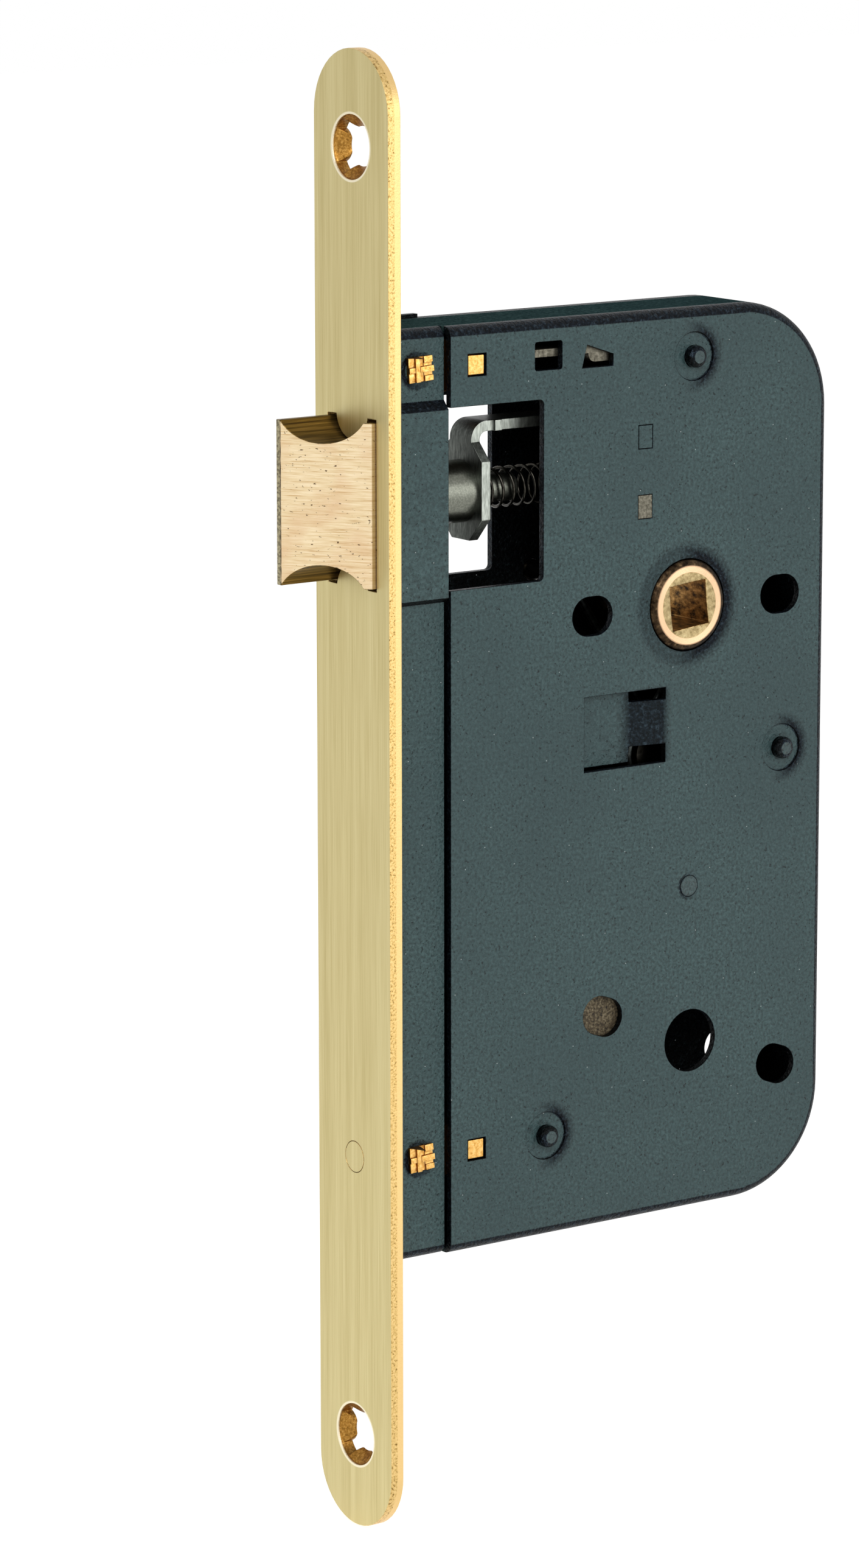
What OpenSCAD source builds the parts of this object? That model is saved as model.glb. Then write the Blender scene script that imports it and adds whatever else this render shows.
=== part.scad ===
// Mortise latch lock with a brass forend, a folded steel case and a reversible latch.
// The origin is the centre of the forend's front face. +X runs into the door, +Z runs up the
// forend, and the plate with the pressed tab faces -Y.

/* [Forend] */
// Length of the forend plate
forend_l = 235; // [225:1:250]
// Width of the forend plate
forend_w = 20; // [19:0.5:25]
// Thickness of the forend plate
forend_t = 2.4; // [2.2:0.1:3.2]
// Distance from an end of the forend to the screw beside it
screw_inset = 15; // [12:0.5:18]
// Diameter of a forend screw hole
screw_hole_d = 10; // [9:0.1:11]
// Free way between two facing tongues of a screw hole
screw_way = 5.2; // [4.4:0.1:6]
// Diameter of the round end of a tongue
tongue_d = 5.6; // [4.6:0.1:6]
// Depth of the full round rim in front of the tongues
screw_rim = 0.4; // [0.3:0.1:0.8]

/* [Case] */
// Height of the case
case_h = 148; // [144:1:158]
// How far the case's middle lies above the forend's
case_rise = 0.75; // [0:0.05:1.5]
// Thickness of the case over both plates
case_t = 15; // [14.8:0.1:15.6]
// Thickness of the case sheet
sheet = 1.2; // [1:0.05:1.4]
// Distance from the forend's front face to the front edge of the plates
neck_l = 13.4; // [13:0.1:14.5]
// Distance from the forend's front face to the follower's axis
backset = 60; // [58:0.5:66]
// Distance from the follower's axis to the rear edge of the case
case_tail = 28.8; // [27.8:0.1:34]
// Radius of the two rear corners
corner_r = 17.5; // [14:0.5:19]
// Outer radius of the folded edge
bend_r = 1.8; // [1.6:0.1:2.4]
// How far the cheeks of the neck lie inside the plates
neck_step = 1; // [0.8:0.05:1.2]
// Gap between a cheek and the plate beside it
slit_w = 0.5; // [0.3:0.1:0.8]
// Height of the locating tab on top of the far plate
tab_h = 0.6; // [0.3:0.1:1]
// Length of the locating tab, from the forend's front face
tab_l = 16.9; // [14.5:0.1:20]

/* [Window] */
// Height of the window in both plates
window_h = 28.6; // [28:0.1:30]
// Length of the window behind the plate's front edge
window_l = 17.9; // [17.5:0.1:19]
// Radius of the window's rear corners
window_r = 0.8; // [0.4:0.1:1.5]
// How far a cheek swells out past its plate beside the latch
swell = 0.25; // [0.15:0.05:0.5]
// Height of the sloped edge above the swelling
swell_top = 1.4; // [1:0.1:3]
// Height of the sloped edge below the swelling
swell_low = 0.7; // [0.5:0.1:2]

/* [Latch] */
// Distance from the case's top edge down to the latch's axis
latch_drop = 26.85; // [26.25:0.05:28.5]
// Width of the latch head
latch_w = 12.9; // [12.3:0.1:13]
// Height of the latch head
latch_h = 25.8; // [25:0.1:26.6]
// How far the latch stands out of the forend
latch_out = 9.7; // [9.5:0.1:10.5]
// How far the latch draws back
latch_travel = 9.4; // [8.5:0.1:9.4]
// Width of the flat on the latch's nose
latch_nose = 1.1; // [0.8:0.1:1.6]
// Length of the head's straight flank in front of the forend
latch_flank = 0.7; // [0.4:0.1:1.2]
// Distance from the forend's front face to the back of the head
latch_back = 5.5; // [5:0.1:7]
// Radius of the two grooves along the head
groove_r = 5.9; // [5.6:0.1:6.4]
// Depth of a groove
groove_depth = 3.4; // [3:0.1:3.8]
// Clearance between the latch and its hole
latch_gap = 0.15; // [0.1:0.05:0.25]
// Diameter of the latch stem
stem_d = 9.9; // [9.4:0.1:10.6]
// Diameter of the stem's thin tail
tail_d = 4.6; // [4:0.1:5]
// Length of the tail behind the carriage
tail_l = 8.5; // [6:0.1:10]

/* [Latch carriage] */
// Thickness of the carriage strip
strip_t = 1.7; // [1.5:0.1:2]
// Distance from the forend's front face to the cross plate
carriage_x = 20.6; // [20:0.1:21.2]
// Width of the cross plate
cross_w = 11.5; // [10.8:0.1:11.8]
// Length of the cross plate's straight side edge
cross_edge = 9.1; // [8:0.1:9.8]
// How far the cross plate's middle lies above the latch axis
cross_lift = 0.5; // [0:0.1:0.8]
// Width of the arm
arm_w = 5.8; // [5:0.1:6.4]
// Height of the arm's underside above the latch axis
arm_rise = 9.45; // [9.35:0.05:10]
// Inner radius of the arm's bends
arm_bend = 1.3; // [1:0.1:1.6]
// Length of the nib on the arm's edge
nib_l = 1.4; // [1:0.1:2]

/* [Follower] */
// Distance from the latch's axis down to the follower's axis
follower_drop = 20.9; // [20.5:0.1:21.5]
// Side of the square spindle hole
square_w = 7.2; // [6.2:0.1:8.2]
// Angle of the square at rest
square_turn = 6; // [0:1:10]
// Diameter of the follower's shoulders
shoulder_d = 14.9; // [14.4:0.1:15.4]
// Running clearance round a shoulder, on the radius
shoulder_gap = 0.06; // [0.04:0.01:0.1]
// How far a shoulder stands out of its plate
shoulder_out = 0.6; // [0.4:0.1:1.2]
// Diameter of the bright end ring
ring_d = 12.5; // [11.8:0.1:13]
// Diameter of the turned dish inside the ring
dish_d = 10.4; // [10.2:0.1:11.2]
// Diameter of the follower's body between the plates
body_d = 17.4; // [16.8:0.1:18]
// Thickness of the follower's levers
lever_t = 6.4; // [5.6:0.1:7]
// Distance from the axis to the centre of the upper lever's tip
lever_l = 20.35; // [19.6:0.05:20.6]
// Radius of the lever tips
tip_r = 2; // [1.6:0.1:2.1]
// Distance from the axis to the centre of the lower lever's tip
toe_l = 11.6; // [11.2:0.1:12.2]

/* [Springs] */
// Outer diameter of the latch spring
latch_spring_d = 6.6; // [6.2:0.1:7.4]
// Wire diameter of the latch spring
latch_wire = 0.5; // [0.4:0.05:0.6]
// Pitch of the latch spring's open turns
latch_pitch = 2.15; // [1.8:0.05:3]
// Wire diameter of the follower spring
return_wire = 1.2; // [1:0.1:1.3]
// Mean radius of the follower spring's coil
return_r = 4.6; // [4.4:0.1:4.9]

/* [Holes and studs] */
// Distance between the handle screw slots
slot_pitch = 38; // [36:0.5:39]
// Length of a screw slot
slot_l = 7.9; // [7:0.1:8.4]
// Width of a screw slot
slot_w = 6.3; // [5:0.1:6.6]
// Distance from the case's bottom edge up to the lower hole
key_rise = 28.25; // [26:0.25:31]
// Diameter of the lower hole
key_hole_d = 10.3; // [8:0.1:11]
// Slope of the lower pair of screw slots
slot_slope = -20; // [-25:1:-10]
// Diameter of a rivet's body between the plates
rivet_d = 6; // [5:0.1:7]
// Diameter of a rivet's head
rivet_head_d = 3.3; // [3:0.1:4]
// Diameter of the coined ring round a rivet
coin_d = 7.8; // [6.8:0.1:8.5]
// Distance from a stud to the case's top edge
stud_top = 6.2; // [6:0.1:8]
// Distance from a stud to the case's bottom edge
stud_low = 16.6; // [12:0.1:22]
// Side of a square stud
stud_w = 3; // [2.6:0.1:3.2]
// Diameter of a foot's round tenon
tenon_d = 5; // [4:0.1:5.6]

/* [Hidden] */
$fn = 48;

// A small overlap that lets cuts run past a face
cut = 0.5;
// Clearance of a part that is fitted and does not move
fit = 0.05;

screw_z = forend_l / 2 - screw_inset;

// The case's planes and edges
plate_y = case_t / 2;
inner_y = plate_y - sheet;
cheek_y = plate_y - neck_step;
cheek_inner_y = cheek_y - sheet;
swell_y = plate_y + swell;
case_back = backset + case_tail;
half_h = case_h / 2;
case_top = case_rise + half_h;
case_low = case_rise - half_h;
corner_x = case_back - corner_r;
corner_z = half_h - corner_r;
cheek_x = neck_l - slit_w;

// The axes of the latch, the follower and the lower hole
latch_z = case_top - latch_drop;
follower_z = latch_z - follower_drop;
key_z = case_low + key_rise;

// The window and the swelling beside it
window_x = neck_l + window_l;
window_low = latch_z - window_h / 2;
window_top = latch_z + window_h / 2;
swell_inset = 0.15;
swell_past = 1;
swell_flat_from = window_low - swell_past;
swell_flat_to = window_top - swell_inset;
swell_from = swell_flat_from - swell_low;
swell_to = swell_flat_to + swell_top;

// The studs and their square holes
stud_front_x = 8.1;
stud_rear_x = 18.45;
stud_play = 0.25;
stud_swell = 0.4;
stud_upset = 1.3;
stud_sink = 0.25;
stud_hole_w = stud_w + 2 * stud_play;
stud_shank_w = stud_w + stud_swell;
stud_head_w = stud_w + stud_upset;
stud_head_t = 0.55;
stud_cross_w = 1.1;
stud_cross_t = 0.35;
foot_h = 8;
foot_past = 2.9;
foot_x = stud_rear_x + foot_past;
stud_top_z = case_top - stud_top;
stud_low_z = case_low + stud_low;

// The rivets, the pin and the plug, each at its own place on the plate
rivet_upper_back = 1;
rivet_upper_drop = 7.8;
rivet_rear_in = 9.2;
rivet_rear_drop = 25.4;
rivet_lower_back = 18.75;
rivet_lower_rise = 16.7;
rivet_upper_at = [backset + rivet_upper_back, case_top - rivet_upper_drop];
rivet_rear_at = [case_back - rivet_rear_in, follower_z - rivet_rear_drop];
rivet_lower_at = [neck_l + rivet_lower_back, case_low + rivet_lower_rise];
rivet_seat_gap = 0.05;
rivet_seat_d = rivet_head_d + 2 * rivet_seat_gap;
rivet_dome = 0.75;
rivet_flat = 0.25;
rivet_dome_r = rivet_head_d / 2 + rivet_flat;
coin_depth = 0.25;
pin_back = 0.8;
pin_drop = 10.2;
pin_at = [backset + pin_back, (follower_z + key_z) / 2 - pin_drop];
pin_d = 3.4;
pin_body_d = 5;
key_back = 1.25;
key_at = [backset + key_back, key_z];
plug_d = 11;

// The pressed tab and its relief cuts
press_back = 26.1;
press_drop = 25.1;
press_l = 16.3;
press_floor = 9.7;
press_h = 12.1;
press_neck_h = 7.25;
press_neck_rise = 2.95;
press_x = neck_l + press_back;
press_z = follower_z - press_drop;
press_neck_z = press_z + press_neck_rise;
press_cut = 0.15;
press_cut_low = 0.45;

// The wall that the latch spring leans on
wall_ahead = 9.95;
wall_t = 2.7;
wall_drop = 7.6;
wall_gap = 0.7;
wall_tab_h = 3.7;
wall_tab_drop = 6.2;
wall_tab_rise = 5;
wall_x = backset - wall_ahead;
wall_low = latch_z - wall_drop;
wall_top = latch_z + arm_rise - wall_gap;
wall_tab_low = latch_z - wall_tab_drop;
wall_tab_high = latch_z + wall_tab_rise;
wall_boss_l = 4;
wall_boss_d = 4.8;

// The strap under the case's top edge
strap_back = 13;
strap_l = 20.5;
strap_t = 1.2;
strap_drop = 6.05;
strap_lug_back = 27.5;
strap_lug_h = 2.6;
strap_lug_depth = 2;
sight_ahead = 11.3;
sight_w = 5.25;
sight_h = 4.45;
sight_r = 0.4;
sight_drop = 7.95;
wedge_ahead = 2.1;
wedge_drop = 8.15;
wedge_l = 6.05;
wedge_h = 3.55;
wedge_rear_h = 1.85;
wedge_lean = 0.95;
strap_x = neck_l + strap_back;
strap_z = case_top - strap_drop;
strap_lug_x = neck_l + strap_lug_back;
sight_x = strap_lug_x - sight_ahead;
sight_z = case_top - sight_drop;
wedge_x = strap_lug_x - wedge_ahead;
wedge_z = case_top - wedge_drop;

// The follower's motion: the upper lever draws the carriage by the latch's travel
lever_lean = asin(latch_travel / 2 / lever_l);
tip_x = backset - lever_l * sin(lever_lean);
tip_z = follower_z + lever_l * cos(lever_lean);
toe_x = backset + toe_l * sin(lever_lean);
toe_z = follower_z - toe_l * cos(lever_lean);
tip_gap = 0.12;
body_gap = 0.3;
dish_depth = 0.6;
lever_spread = 2.2;
lever_waist = 0.6;
lever_neck_l = 5;
lever_root = tip_r + lever_spread;
lever_neck = tip_r - lever_waist;

// The carriage
nib_back = 4.3;
leg_reach = 1.4;
cross_x = carriage_x + strip_t;
arm_low = latch_z + arm_rise;
leg_x = tip_x + tip_r + tip_gap;
leg_low = tip_z - leg_reach;
cross_step = 0.5;
cross_chamfer = (cross_w - arm_w) / 2 + cross_step;
cross_slope = 1.08;
nib_x = carriage_x + nib_back;
nib_out = 0.5;

// The latch head
head_l = latch_out + latch_back;
groove_floor = latch_h / 2 - groove_depth;
groove_z = groove_floor + groove_r;
latch_play = 0.4;
lobe_r = 4.25;
lobe_z = groove_floor + latch_gap + lobe_r;
tail_gap = 0.05;
tail_bevel = 0.8;

// The latch spring: closed turns at the carriage, open turns up to the wall
spring_r = (latch_spring_d - latch_wire) / 2;
spring_from = cross_x + latch_wire / 2 + fit;
spring_to = wall_x - latch_wire / 2 - fit;
closed_turns = 3;
closed_gap = 0.03;
closed_pitch = latch_wire + closed_gap;
end_turns = 1;
open_length = spring_to - spring_from - (closed_turns + end_turns) * closed_pitch;
open_turns = round(open_length / latch_pitch);
wire_steps = 18;

// The follower spring: a coil round its post, one leg on a peg and one on the lower lever
post_ahead = 3.3;
post_drop = 24.5;
post_play = 0.3;
turn_gap = 0.06;
post_x = backset - post_ahead;
post_z = follower_z - post_drop;
post_d = 2 * (return_r - post_play) - return_wire;
return_pitch = return_wire + turn_gap;
return_y = 0.8;
still_leg_angle = 124;
still_leg_l = 37.5;
still_start = still_leg_angle - 90;
toe_gap = 0.2;
toe_reach = return_wire / 2 + tip_r + toe_gap;
toe_dx = toe_x - toe_reach * cos(lever_lean) - post_x;
toe_dz = toe_z - toe_reach * sin(lever_lean) - post_z;
toe_distance = norm([toe_dx, toe_dz]);
toe_leg_angle = atan2(toe_dz, toe_dx) - asin(return_r / toe_distance);
toe_start = toe_leg_angle + 90;
toe_leg_l = sqrt(pow(toe_distance, 2) - pow(return_r, 2));
return_turns = 2 + (360 + still_start - toe_start) / 360;
peg_d = 3;
peg_end = 2.5;
peg_proud = 1;
post_end_y = return_y - return_turns * return_pitch - peg_proud;
peg_along = still_leg_l - peg_end;
peg_off = return_wire / 2 + peg_d / 2 + fit;
peg_x = post_x + return_r * cos(still_start) + peg_along * cos(still_leg_angle)
    + peg_off * cos(still_leg_angle + 90);
peg_z = post_z + return_r * sin(still_start) + peg_along * sin(still_leg_angle)
    + peg_off * sin(still_leg_angle + 90);

// Extrudes a (y, z) outline along +X
module along_x(from, length) {
    translate([from, 0, 0])
        rotate([90, 0, 90])
            linear_extrude(length)
                children();
}

// Extrudes an (x, z) outline along +Y
module along_y(from, length) {
    translate([0, from + length, 0])
        rotate([90, 0, 0])
            linear_extrude(length)
                children();
}

// A round bar or hole along Y at a place on the plate
module round_y(at, d, from, to) {
    translate([at[0], to, at[1]])
        rotate([90, 0, 0])
            cylinder(d = d, h = to - from);
}

// A slot with round ends, centred
module slot_outline(length, width) {
    straight = length - width;
    square([straight, width], center = true);
    for (side = [-1, 1])
        translate([side * straight / 2, 0])
            circle(d = width);
}

// A rectangle with round corners, centred
module rounded_square(width, height, radius) {
    square([width - 2 * radius, height], center = true);
    square([width, height - 2 * radius], center = true);
    for (across = [-1, 1], up = [-1, 1])
        translate([across * (width / 2 - radius), up * (height / 2 - radius)])
            circle(r = radius, $fn = 24);
}

// A tube of wire through the given points, closed at both ends
module wire(points, frames, radius, sides = 6) {
    count = len(points);
    rings = [
        for (i = [0:count - 1], s = [0:sides - 1])
            let (a = 360 * s / sides)
                points[i] + radius * (cos(a) * frames[i][0] + sin(a) * frames[i][1])
    ];
    walls = [
        for (i = [0:count - 2], s = [0:sides - 1])
            let (a = i * sides + s, b = i * sides + (s + 1) % sides)
                [a, b, b + sides, a + sides]
    ];
    first_cap = [for (s = [sides - 1:-1:0]) s];
    last_cap = [for (s = [0:sides - 1]) (count - 1) * sides + s];
    polyhedron(points = rings, faces = concat([first_cap], walls, [last_cap]), convexity = 10);
}

// A bar across the latch axis with a groove in its top and its bottom edge
module grooved_bar(width, height, groove_at, radius) {
    difference() {
        square([width, height], center = true);
        for (side = [-1, 1])
            translate([0, side * groove_at])
                circle(r = radius, $fn = 72);
    }
}

// Forend

// One screw hole: a full round rim in front, then four tongues pressed in from the sides
module screw_hole() {
    tongue_at = screw_way / 2 + tongue_d / 2;
    difference() {
        cylinder(d = screw_hole_d, h = forend_t + 2 * cut);
        difference() {
            for (side = [0:90:270])
                rotate(side)
                    translate([tongue_at, 0, cut + screw_rim])
                        cylinder(d = tongue_d, h = forend_t + cut);
            translate([0, 0, cut + screw_rim])
                cylinder(r1 = screw_hole_d / 2, r2 = 0, h = screw_hole_d / 2);
        }
    }
}

module forend() {
    end_r = forend_w / 2;
    color("#C9B981")
        difference() {
            along_x(0, forend_t)
                union() {
                    square([forend_w, forend_l - forend_w], center = true);
                    for (side = [-1, 1])
                        translate([0, side * (forend_l / 2 - end_r)])
                            circle(r = end_r, $fn = 96);
                }
            for (side = [-1, 1])
                translate([-cut, 0, side * screw_z])
                    rotate([90, 0, 90])
                        screw_hole();
            along_x(-cut, forend_t + 2 * cut)
                translate([0, latch_z])
                    grooved_bar(latch_w + 2 * latch_gap, latch_h + 2 * latch_play, lobe_z, lobe_r);
            translate([-cut, 0, stud_low_z])
                rotate([0, 90, 0])
                    cylinder(d = tenon_d + 2 * fit, h = forend_t + 2 * cut);
            translate([forend_t / 3, 0, stud_top_z])
                rotate([0, 90, 0])
                    cylinder(d = tenon_d + 2 * fit, h = forend_t);
        }
}

// Feet that carry the forend on the case

// A stud end upset with a punched cross, on the -Y side of its cheek
module staked_head() {
    along_y(-cheek_y - stud_head_t, stud_head_t)
        square(stud_head_w, center = true);
    along_y(-cheek_y - stud_head_t - stud_cross_t, stud_cross_t)
        for (size = [[stud_head_w, stud_cross_w], [stud_cross_w, stud_head_w]])
            square(size, center = true);
}

module foot(z, tenon_from) {
    color("#D9AE55")
        translate([0, 0, z]) {
            along_y(fit - cheek_inner_y, 2 * (cheek_inner_y - fit))
                translate([forend_t, -foot_h / 2])
                    square([foot_x - forend_t, foot_h]);
            translate([tenon_from, 0, 0])
                rotate([0, 90, 0])
                    cylinder(d = tenon_d, h = forend_t - tenon_from);
            along_y(-cheek_y, 2 * cheek_y)
                translate([stud_front_x, 0])
                    square(stud_shank_w, center = true);
            along_y(stud_sink - plate_y, 2 * (plate_y - stud_sink))
                translate([stud_rear_x, 0])
                    square(stud_w, center = true);
            for (side = [0, 1])
                mirror([0, side, 0])
                    translate([stud_front_x, 0, 0])
                        staked_head();
        }
}

module foot_upper() {
    foot(stud_top_z, forend_t / 3);
}

module foot_lower() {
    foot(stud_low_z, 0);
}

// Case

// Section through the folded edge in (y, z), with the rim's outer face at z = 0
module edge_section(near, far, depth) {
    translate([near + bend_r, -sheet])
        square([far - near - bend_r, sheet]);
    translate([near, -depth])
        square([sheet, depth - bend_r]);
    intersection() {
        translate([near, -bend_r])
            square(bend_r);
        translate([near + bend_r, -bend_r])
            difference() {
                circle(r = bend_r);
                circle(r = bend_r - sheet);
            }
    }
}

// The rear part of a plate's outline in (x, z), from its front edge to the rounded rear
module plate_outline(from) {
    translate([from, case_low])
        square([corner_x - from, case_h]);
    translate([corner_x, case_rise - corner_z])
        square([corner_r, 2 * corner_z]);
    for (side = [-1, 1])
        translate([corner_x, case_rise + side * corner_z])
            circle(r = corner_r, $fn = 96);
}

// The window in a plate, open to the slit at its front
module window_outline() {
    front = cheek_x - cut;
    round_x = window_x - window_r;
    translate([front, window_low])
        square([round_x - front, window_h]);
    translate([front, window_low + window_r])
        square([window_x - front, window_h - 2 * window_r]);
    for (z = [window_low + window_r, window_top - window_r])
        translate([round_x, z])
            circle(r = window_r, $fn = 24);
}

// The square stud holes, the screw slots, the lower hole, the wall's slots and the rivet holes
module shared_holes() {
    for (z = [stud_top_z, stud_low_z])
        translate([stud_rear_x, z])
            square(stud_hole_w, center = true);
    translate([backset, follower_z])
        for (side = [-1, 1])
            translate([side * slot_pitch / 2, 0])
                slot_outline(slot_l, slot_w);
    translate(key_at) {
        circle(d = key_hole_d);
        rotate(slot_slope)
            for (side = [-1, 1])
                translate([side * slot_pitch / 2, 0])
                    slot_outline(slot_l, slot_w);
    }
    translate([backset, follower_z])
        circle(r = shoulder_d / 2 + shoulder_gap);
    for (z = [wall_tab_low, wall_tab_high])
        translate([wall_x - fit, z])
            square([wall_t + 2 * fit, wall_tab_h + 2 * fit]);
    for (at = [rivet_upper_at, rivet_rear_at, rivet_lower_at])
        translate(at)
            circle(d = rivet_seat_d);
    translate(pin_at)
        circle(d = pin_d + 2 * fit);
}

// The square holes for the feet's front studs
module front_stud_holes() {
    for (z = [stud_top_z, stud_low_z])
        translate([stud_front_x, z])
            square(stud_shank_w + 2 * fit, center = true);
}

// Sight holes of the strap, in the near plate only
module strap_holes() {
    translate([sight_x + sight_w / 2, sight_z + sight_h / 2])
        rounded_square(sight_w, sight_h, sight_r);
    translate([wedge_x, wedge_z])
        polygon([[0, 0], [wedge_l, 0], [wedge_l, wedge_rear_h], [wedge_lean, wedge_h]]);
}

// The swollen cheek beside the latch: a flat with a slope at each end, in (y, z), for the -Y side
module swell_section() {
    polygon([
        [-cheek_y, swell_from], [-swell_y, swell_flat_from], [-swell_y, swell_flat_to],
        [-cheek_y, swell_to], [-cheek_inner_y, swell_to], [sheet - swell_y, swell_flat_to],
        [sheet - swell_y, swell_flat_from], [-cheek_inner_y, swell_from]
    ]);
}

// The pressed tab: a sunk floor, and a narrow ramp that climbs back to the plate
module pressed_tab() {
    ramp_x = press_x + press_floor;
    ramp_end = press_x + press_l;
    along_y(-inner_y, sheet)
        translate([press_x + press_cut, press_z + press_cut_low])
            square([press_floor - press_cut, press_h - press_cut - press_cut_low]);
    translate([0, 0, press_neck_z])
        linear_extrude(press_neck_h)
            polygon([
                [ramp_x, -inner_y], [ramp_end, -plate_y], [ramp_end, -inner_y],
                [ramp_x, sheet - inner_y]
            ]);
}

module case_tray() {
    mid_l = corner_x - neck_l;
    color("#46585A") {
        difference() {
            translate([0, 0, case_rise]) {
                for (side = [0, 1])
                    mirror([0, 0, side]) {
                        along_x(neck_l, mid_l)
                            translate([0, half_h])
                                edge_section(-plate_y, inner_y, corner_r);
                        translate([corner_x, 0, -corner_z])
                            rotate([-90, 0, 0])
                                rotate_extrude(angle = 90, $fn = 96)
                                    translate([corner_r, 0])
                                        mirror([1, -1, 0])
                                            edge_section(-plate_y, inner_y, corner_r);
                    }
                along_y(-plate_y, sheet)
                    translate([neck_l, -corner_z])
                        square([mid_l, 2 * corner_z]);
                translate([0, 0, -corner_z])
                    linear_extrude(2 * corner_z)
                        translate([case_back, 0])
                            mirror([1, -1, 0])
                                edge_section(-plate_y, inner_y, corner_r);
            }
            along_y(-plate_y - cut, sheet + 2 * cut) {
                window_outline();
                shared_holes();
                strap_holes();
                translate([press_x, press_z])
                    square([press_l, press_h]);
            }
            for (at = [rivet_upper_at, rivet_rear_at, rivet_lower_at])
                round_y(at, coin_d, -plate_y - cut, coin_depth - plate_y);
        }
        neck_side();
        pressed_tab();
    }
}

// The neck's near cheek with the rims above and below it
module neck_side() {
    far = cheek_inner_y;
    translate([0, 0, case_rise])
        for (side = [0, 1])
            mirror([0, 0, side]) {
                along_x(forend_t, cheek_x - forend_t)
                    translate([0, half_h])
                        edge_section(-cheek_y, far, bend_r + cut);
                along_x(cheek_x - cut, slit_w + 2 * cut)
                    translate([bend_r - cheek_y, half_h - sheet])
                        square([far + cheek_y - bend_r, sheet]);
            }
    difference() {
        along_y(-cheek_y, sheet)
            translate([forend_t, case_low + bend_r])
                square([cheek_x - forend_t, case_h - 2 * bend_r]);
        along_y(-cheek_y - cut, sheet + 2 * cut) {
            front_stud_holes();
            translate([0, swell_from])
                square([neck_l, swell_to - swell_from]);
        }
    }
    along_x(forend_t, cheek_x - forend_t)
        swell_section();
}

// The far plate: a joggled cheek in front, and a tab on its top edge
module case_cover() {
    joggle_x = neck_l - neck_step;
    color("#46585A") {
        difference() {
            union() {
                along_y(inner_y, sheet)
                    plate_outline(neck_l);
                translate([0, 0, case_low])
                    linear_extrude(case_h)
                        polygon([
                            [forend_t, cheek_inner_y], [joggle_x, cheek_inner_y], [neck_l, inner_y],
                            [neck_l + cut, inner_y], [neck_l + cut, plate_y], [neck_l, plate_y],
                            [joggle_x, cheek_y], [forend_t, cheek_y]
                        ]);
            }
            along_y(cheek_inner_y - cut, case_t) {
                window_outline();
                shared_holes();
                front_stud_holes();
                for (at = [[post_x, post_z], [peg_x, peg_z]])
                    translate(at)
                        circle(d = pin_d + 2 * fit);
                translate([0, swell_from])
                    square([neck_l, swell_to - swell_from]);
            }
        }
        along_x(forend_t, cheek_x - forend_t)
            mirror([1, 0])
                swell_section();
        along_y(cheek_inner_y, sheet)
            translate([forend_t, case_top - cut])
                square([joggle_x - forend_t, tab_h + cut]);
        along_y(inner_y, sheet)
            translate([neck_l, case_top - cut])
                square([tab_l - neck_l, tab_h + cut]);
    }
}

// Rivets and pins

// A rivet between the plates, with a domed head on each
module rivet(at) {
    color("#3B4B4E") {
        round_y(at, rivet_d, fit - inner_y, inner_y - fit);
        round_y(at, rivet_head_d, coin_depth - plate_y, plate_y);
        for (side = [0, 1])
            mirror([0, side, 0])
                translate([at[0], coin_depth - plate_y, at[1]])
                    rotate([90, 0, 0])
                        rotate_extrude()
                            intersection() {
                                square([rivet_head_d, rivet_dome]);
                                translate([0, rivet_dome - rivet_dome_r])
                                    circle(r = rivet_dome_r);
                            }
    }
}

module rivet_upper() {
    rivet(rivet_upper_at);
}

module rivet_rear() {
    rivet(rivet_rear_at);
}

module rivet_lower() {
    rivet(rivet_lower_at);
}

module spacer_pin() {
    color("#42545A") {
        round_y(pin_at, pin_body_d, fit - inner_y, inner_y - fit);
        round_y(pin_at, pin_d, -plate_y, plate_y);
    }
}

// A rough round plug between the plates, behind one of the lower screw slots
module slot_plug() {
    color("#6B5F4C")
        translate([key_at[0], 0, key_at[1]])
            rotate([0, -slot_slope, 0])
                round_y([-slot_pitch / 2, 0], plug_d, fit - inner_y, inner_y - fit);
}

// Wall that carries the latch spring's rear end
module spring_wall() {
    color("#8B8A83") {
        along_y(fit - inner_y, 2 * (inner_y - fit))
            translate([wall_x, wall_low])
                square([wall_t, wall_top - wall_low]);
        for (z = [wall_tab_low, wall_tab_high])
            along_y(-plate_y, case_t)
                translate([wall_x, z + fit])
                    square([wall_t, wall_tab_h]);
        translate([wall_x - wall_boss_l, 0, latch_z])
            rotate([0, 90, 0])
                cylinder(d = wall_boss_d, h = wall_boss_l + fit);
    }
}

// Strap between the plates under the top edge, with a deeper lug behind the wedge-shaped hole
module upper_strap() {
    lug_r = strap_lug_h / 2;
    color("#8F8A80") {
        along_y(fit - inner_y, 2 * (inner_y - fit))
            translate([strap_x, strap_z])
                square([strap_l, strap_t]);
        along_y(fit - inner_y, strap_lug_depth) {
            translate([strap_lug_x + lug_r, strap_z + strap_t - strap_lug_h])
                square([strap_x + strap_l - strap_lug_x - lug_r, strap_lug_h]);
            translate([strap_lug_x + lug_r, strap_z + strap_t - lug_r])
                circle(r = lug_r);
        }
    }
}

// Post of the follower spring, riveted to the far plate
module spring_post() {
    color("#7C7F80") {
        round_y([post_x, post_z], post_d, post_end_y, inner_y - fit);
        round_y([post_x, post_z], pin_d, inner_y - peg_proud, plate_y);
    }
}

// Peg that holds the spring's still leg, riveted to the far plate
module spring_peg() {
    color("#7C7F80") {
        round_y([peg_x, peg_z], peg_d, return_y - return_wire / 2 - peg_proud, inner_y - fit);
        round_y([peg_x, peg_z], pin_d, inner_y - fit, plate_y);
    }
}

// Follower

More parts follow.
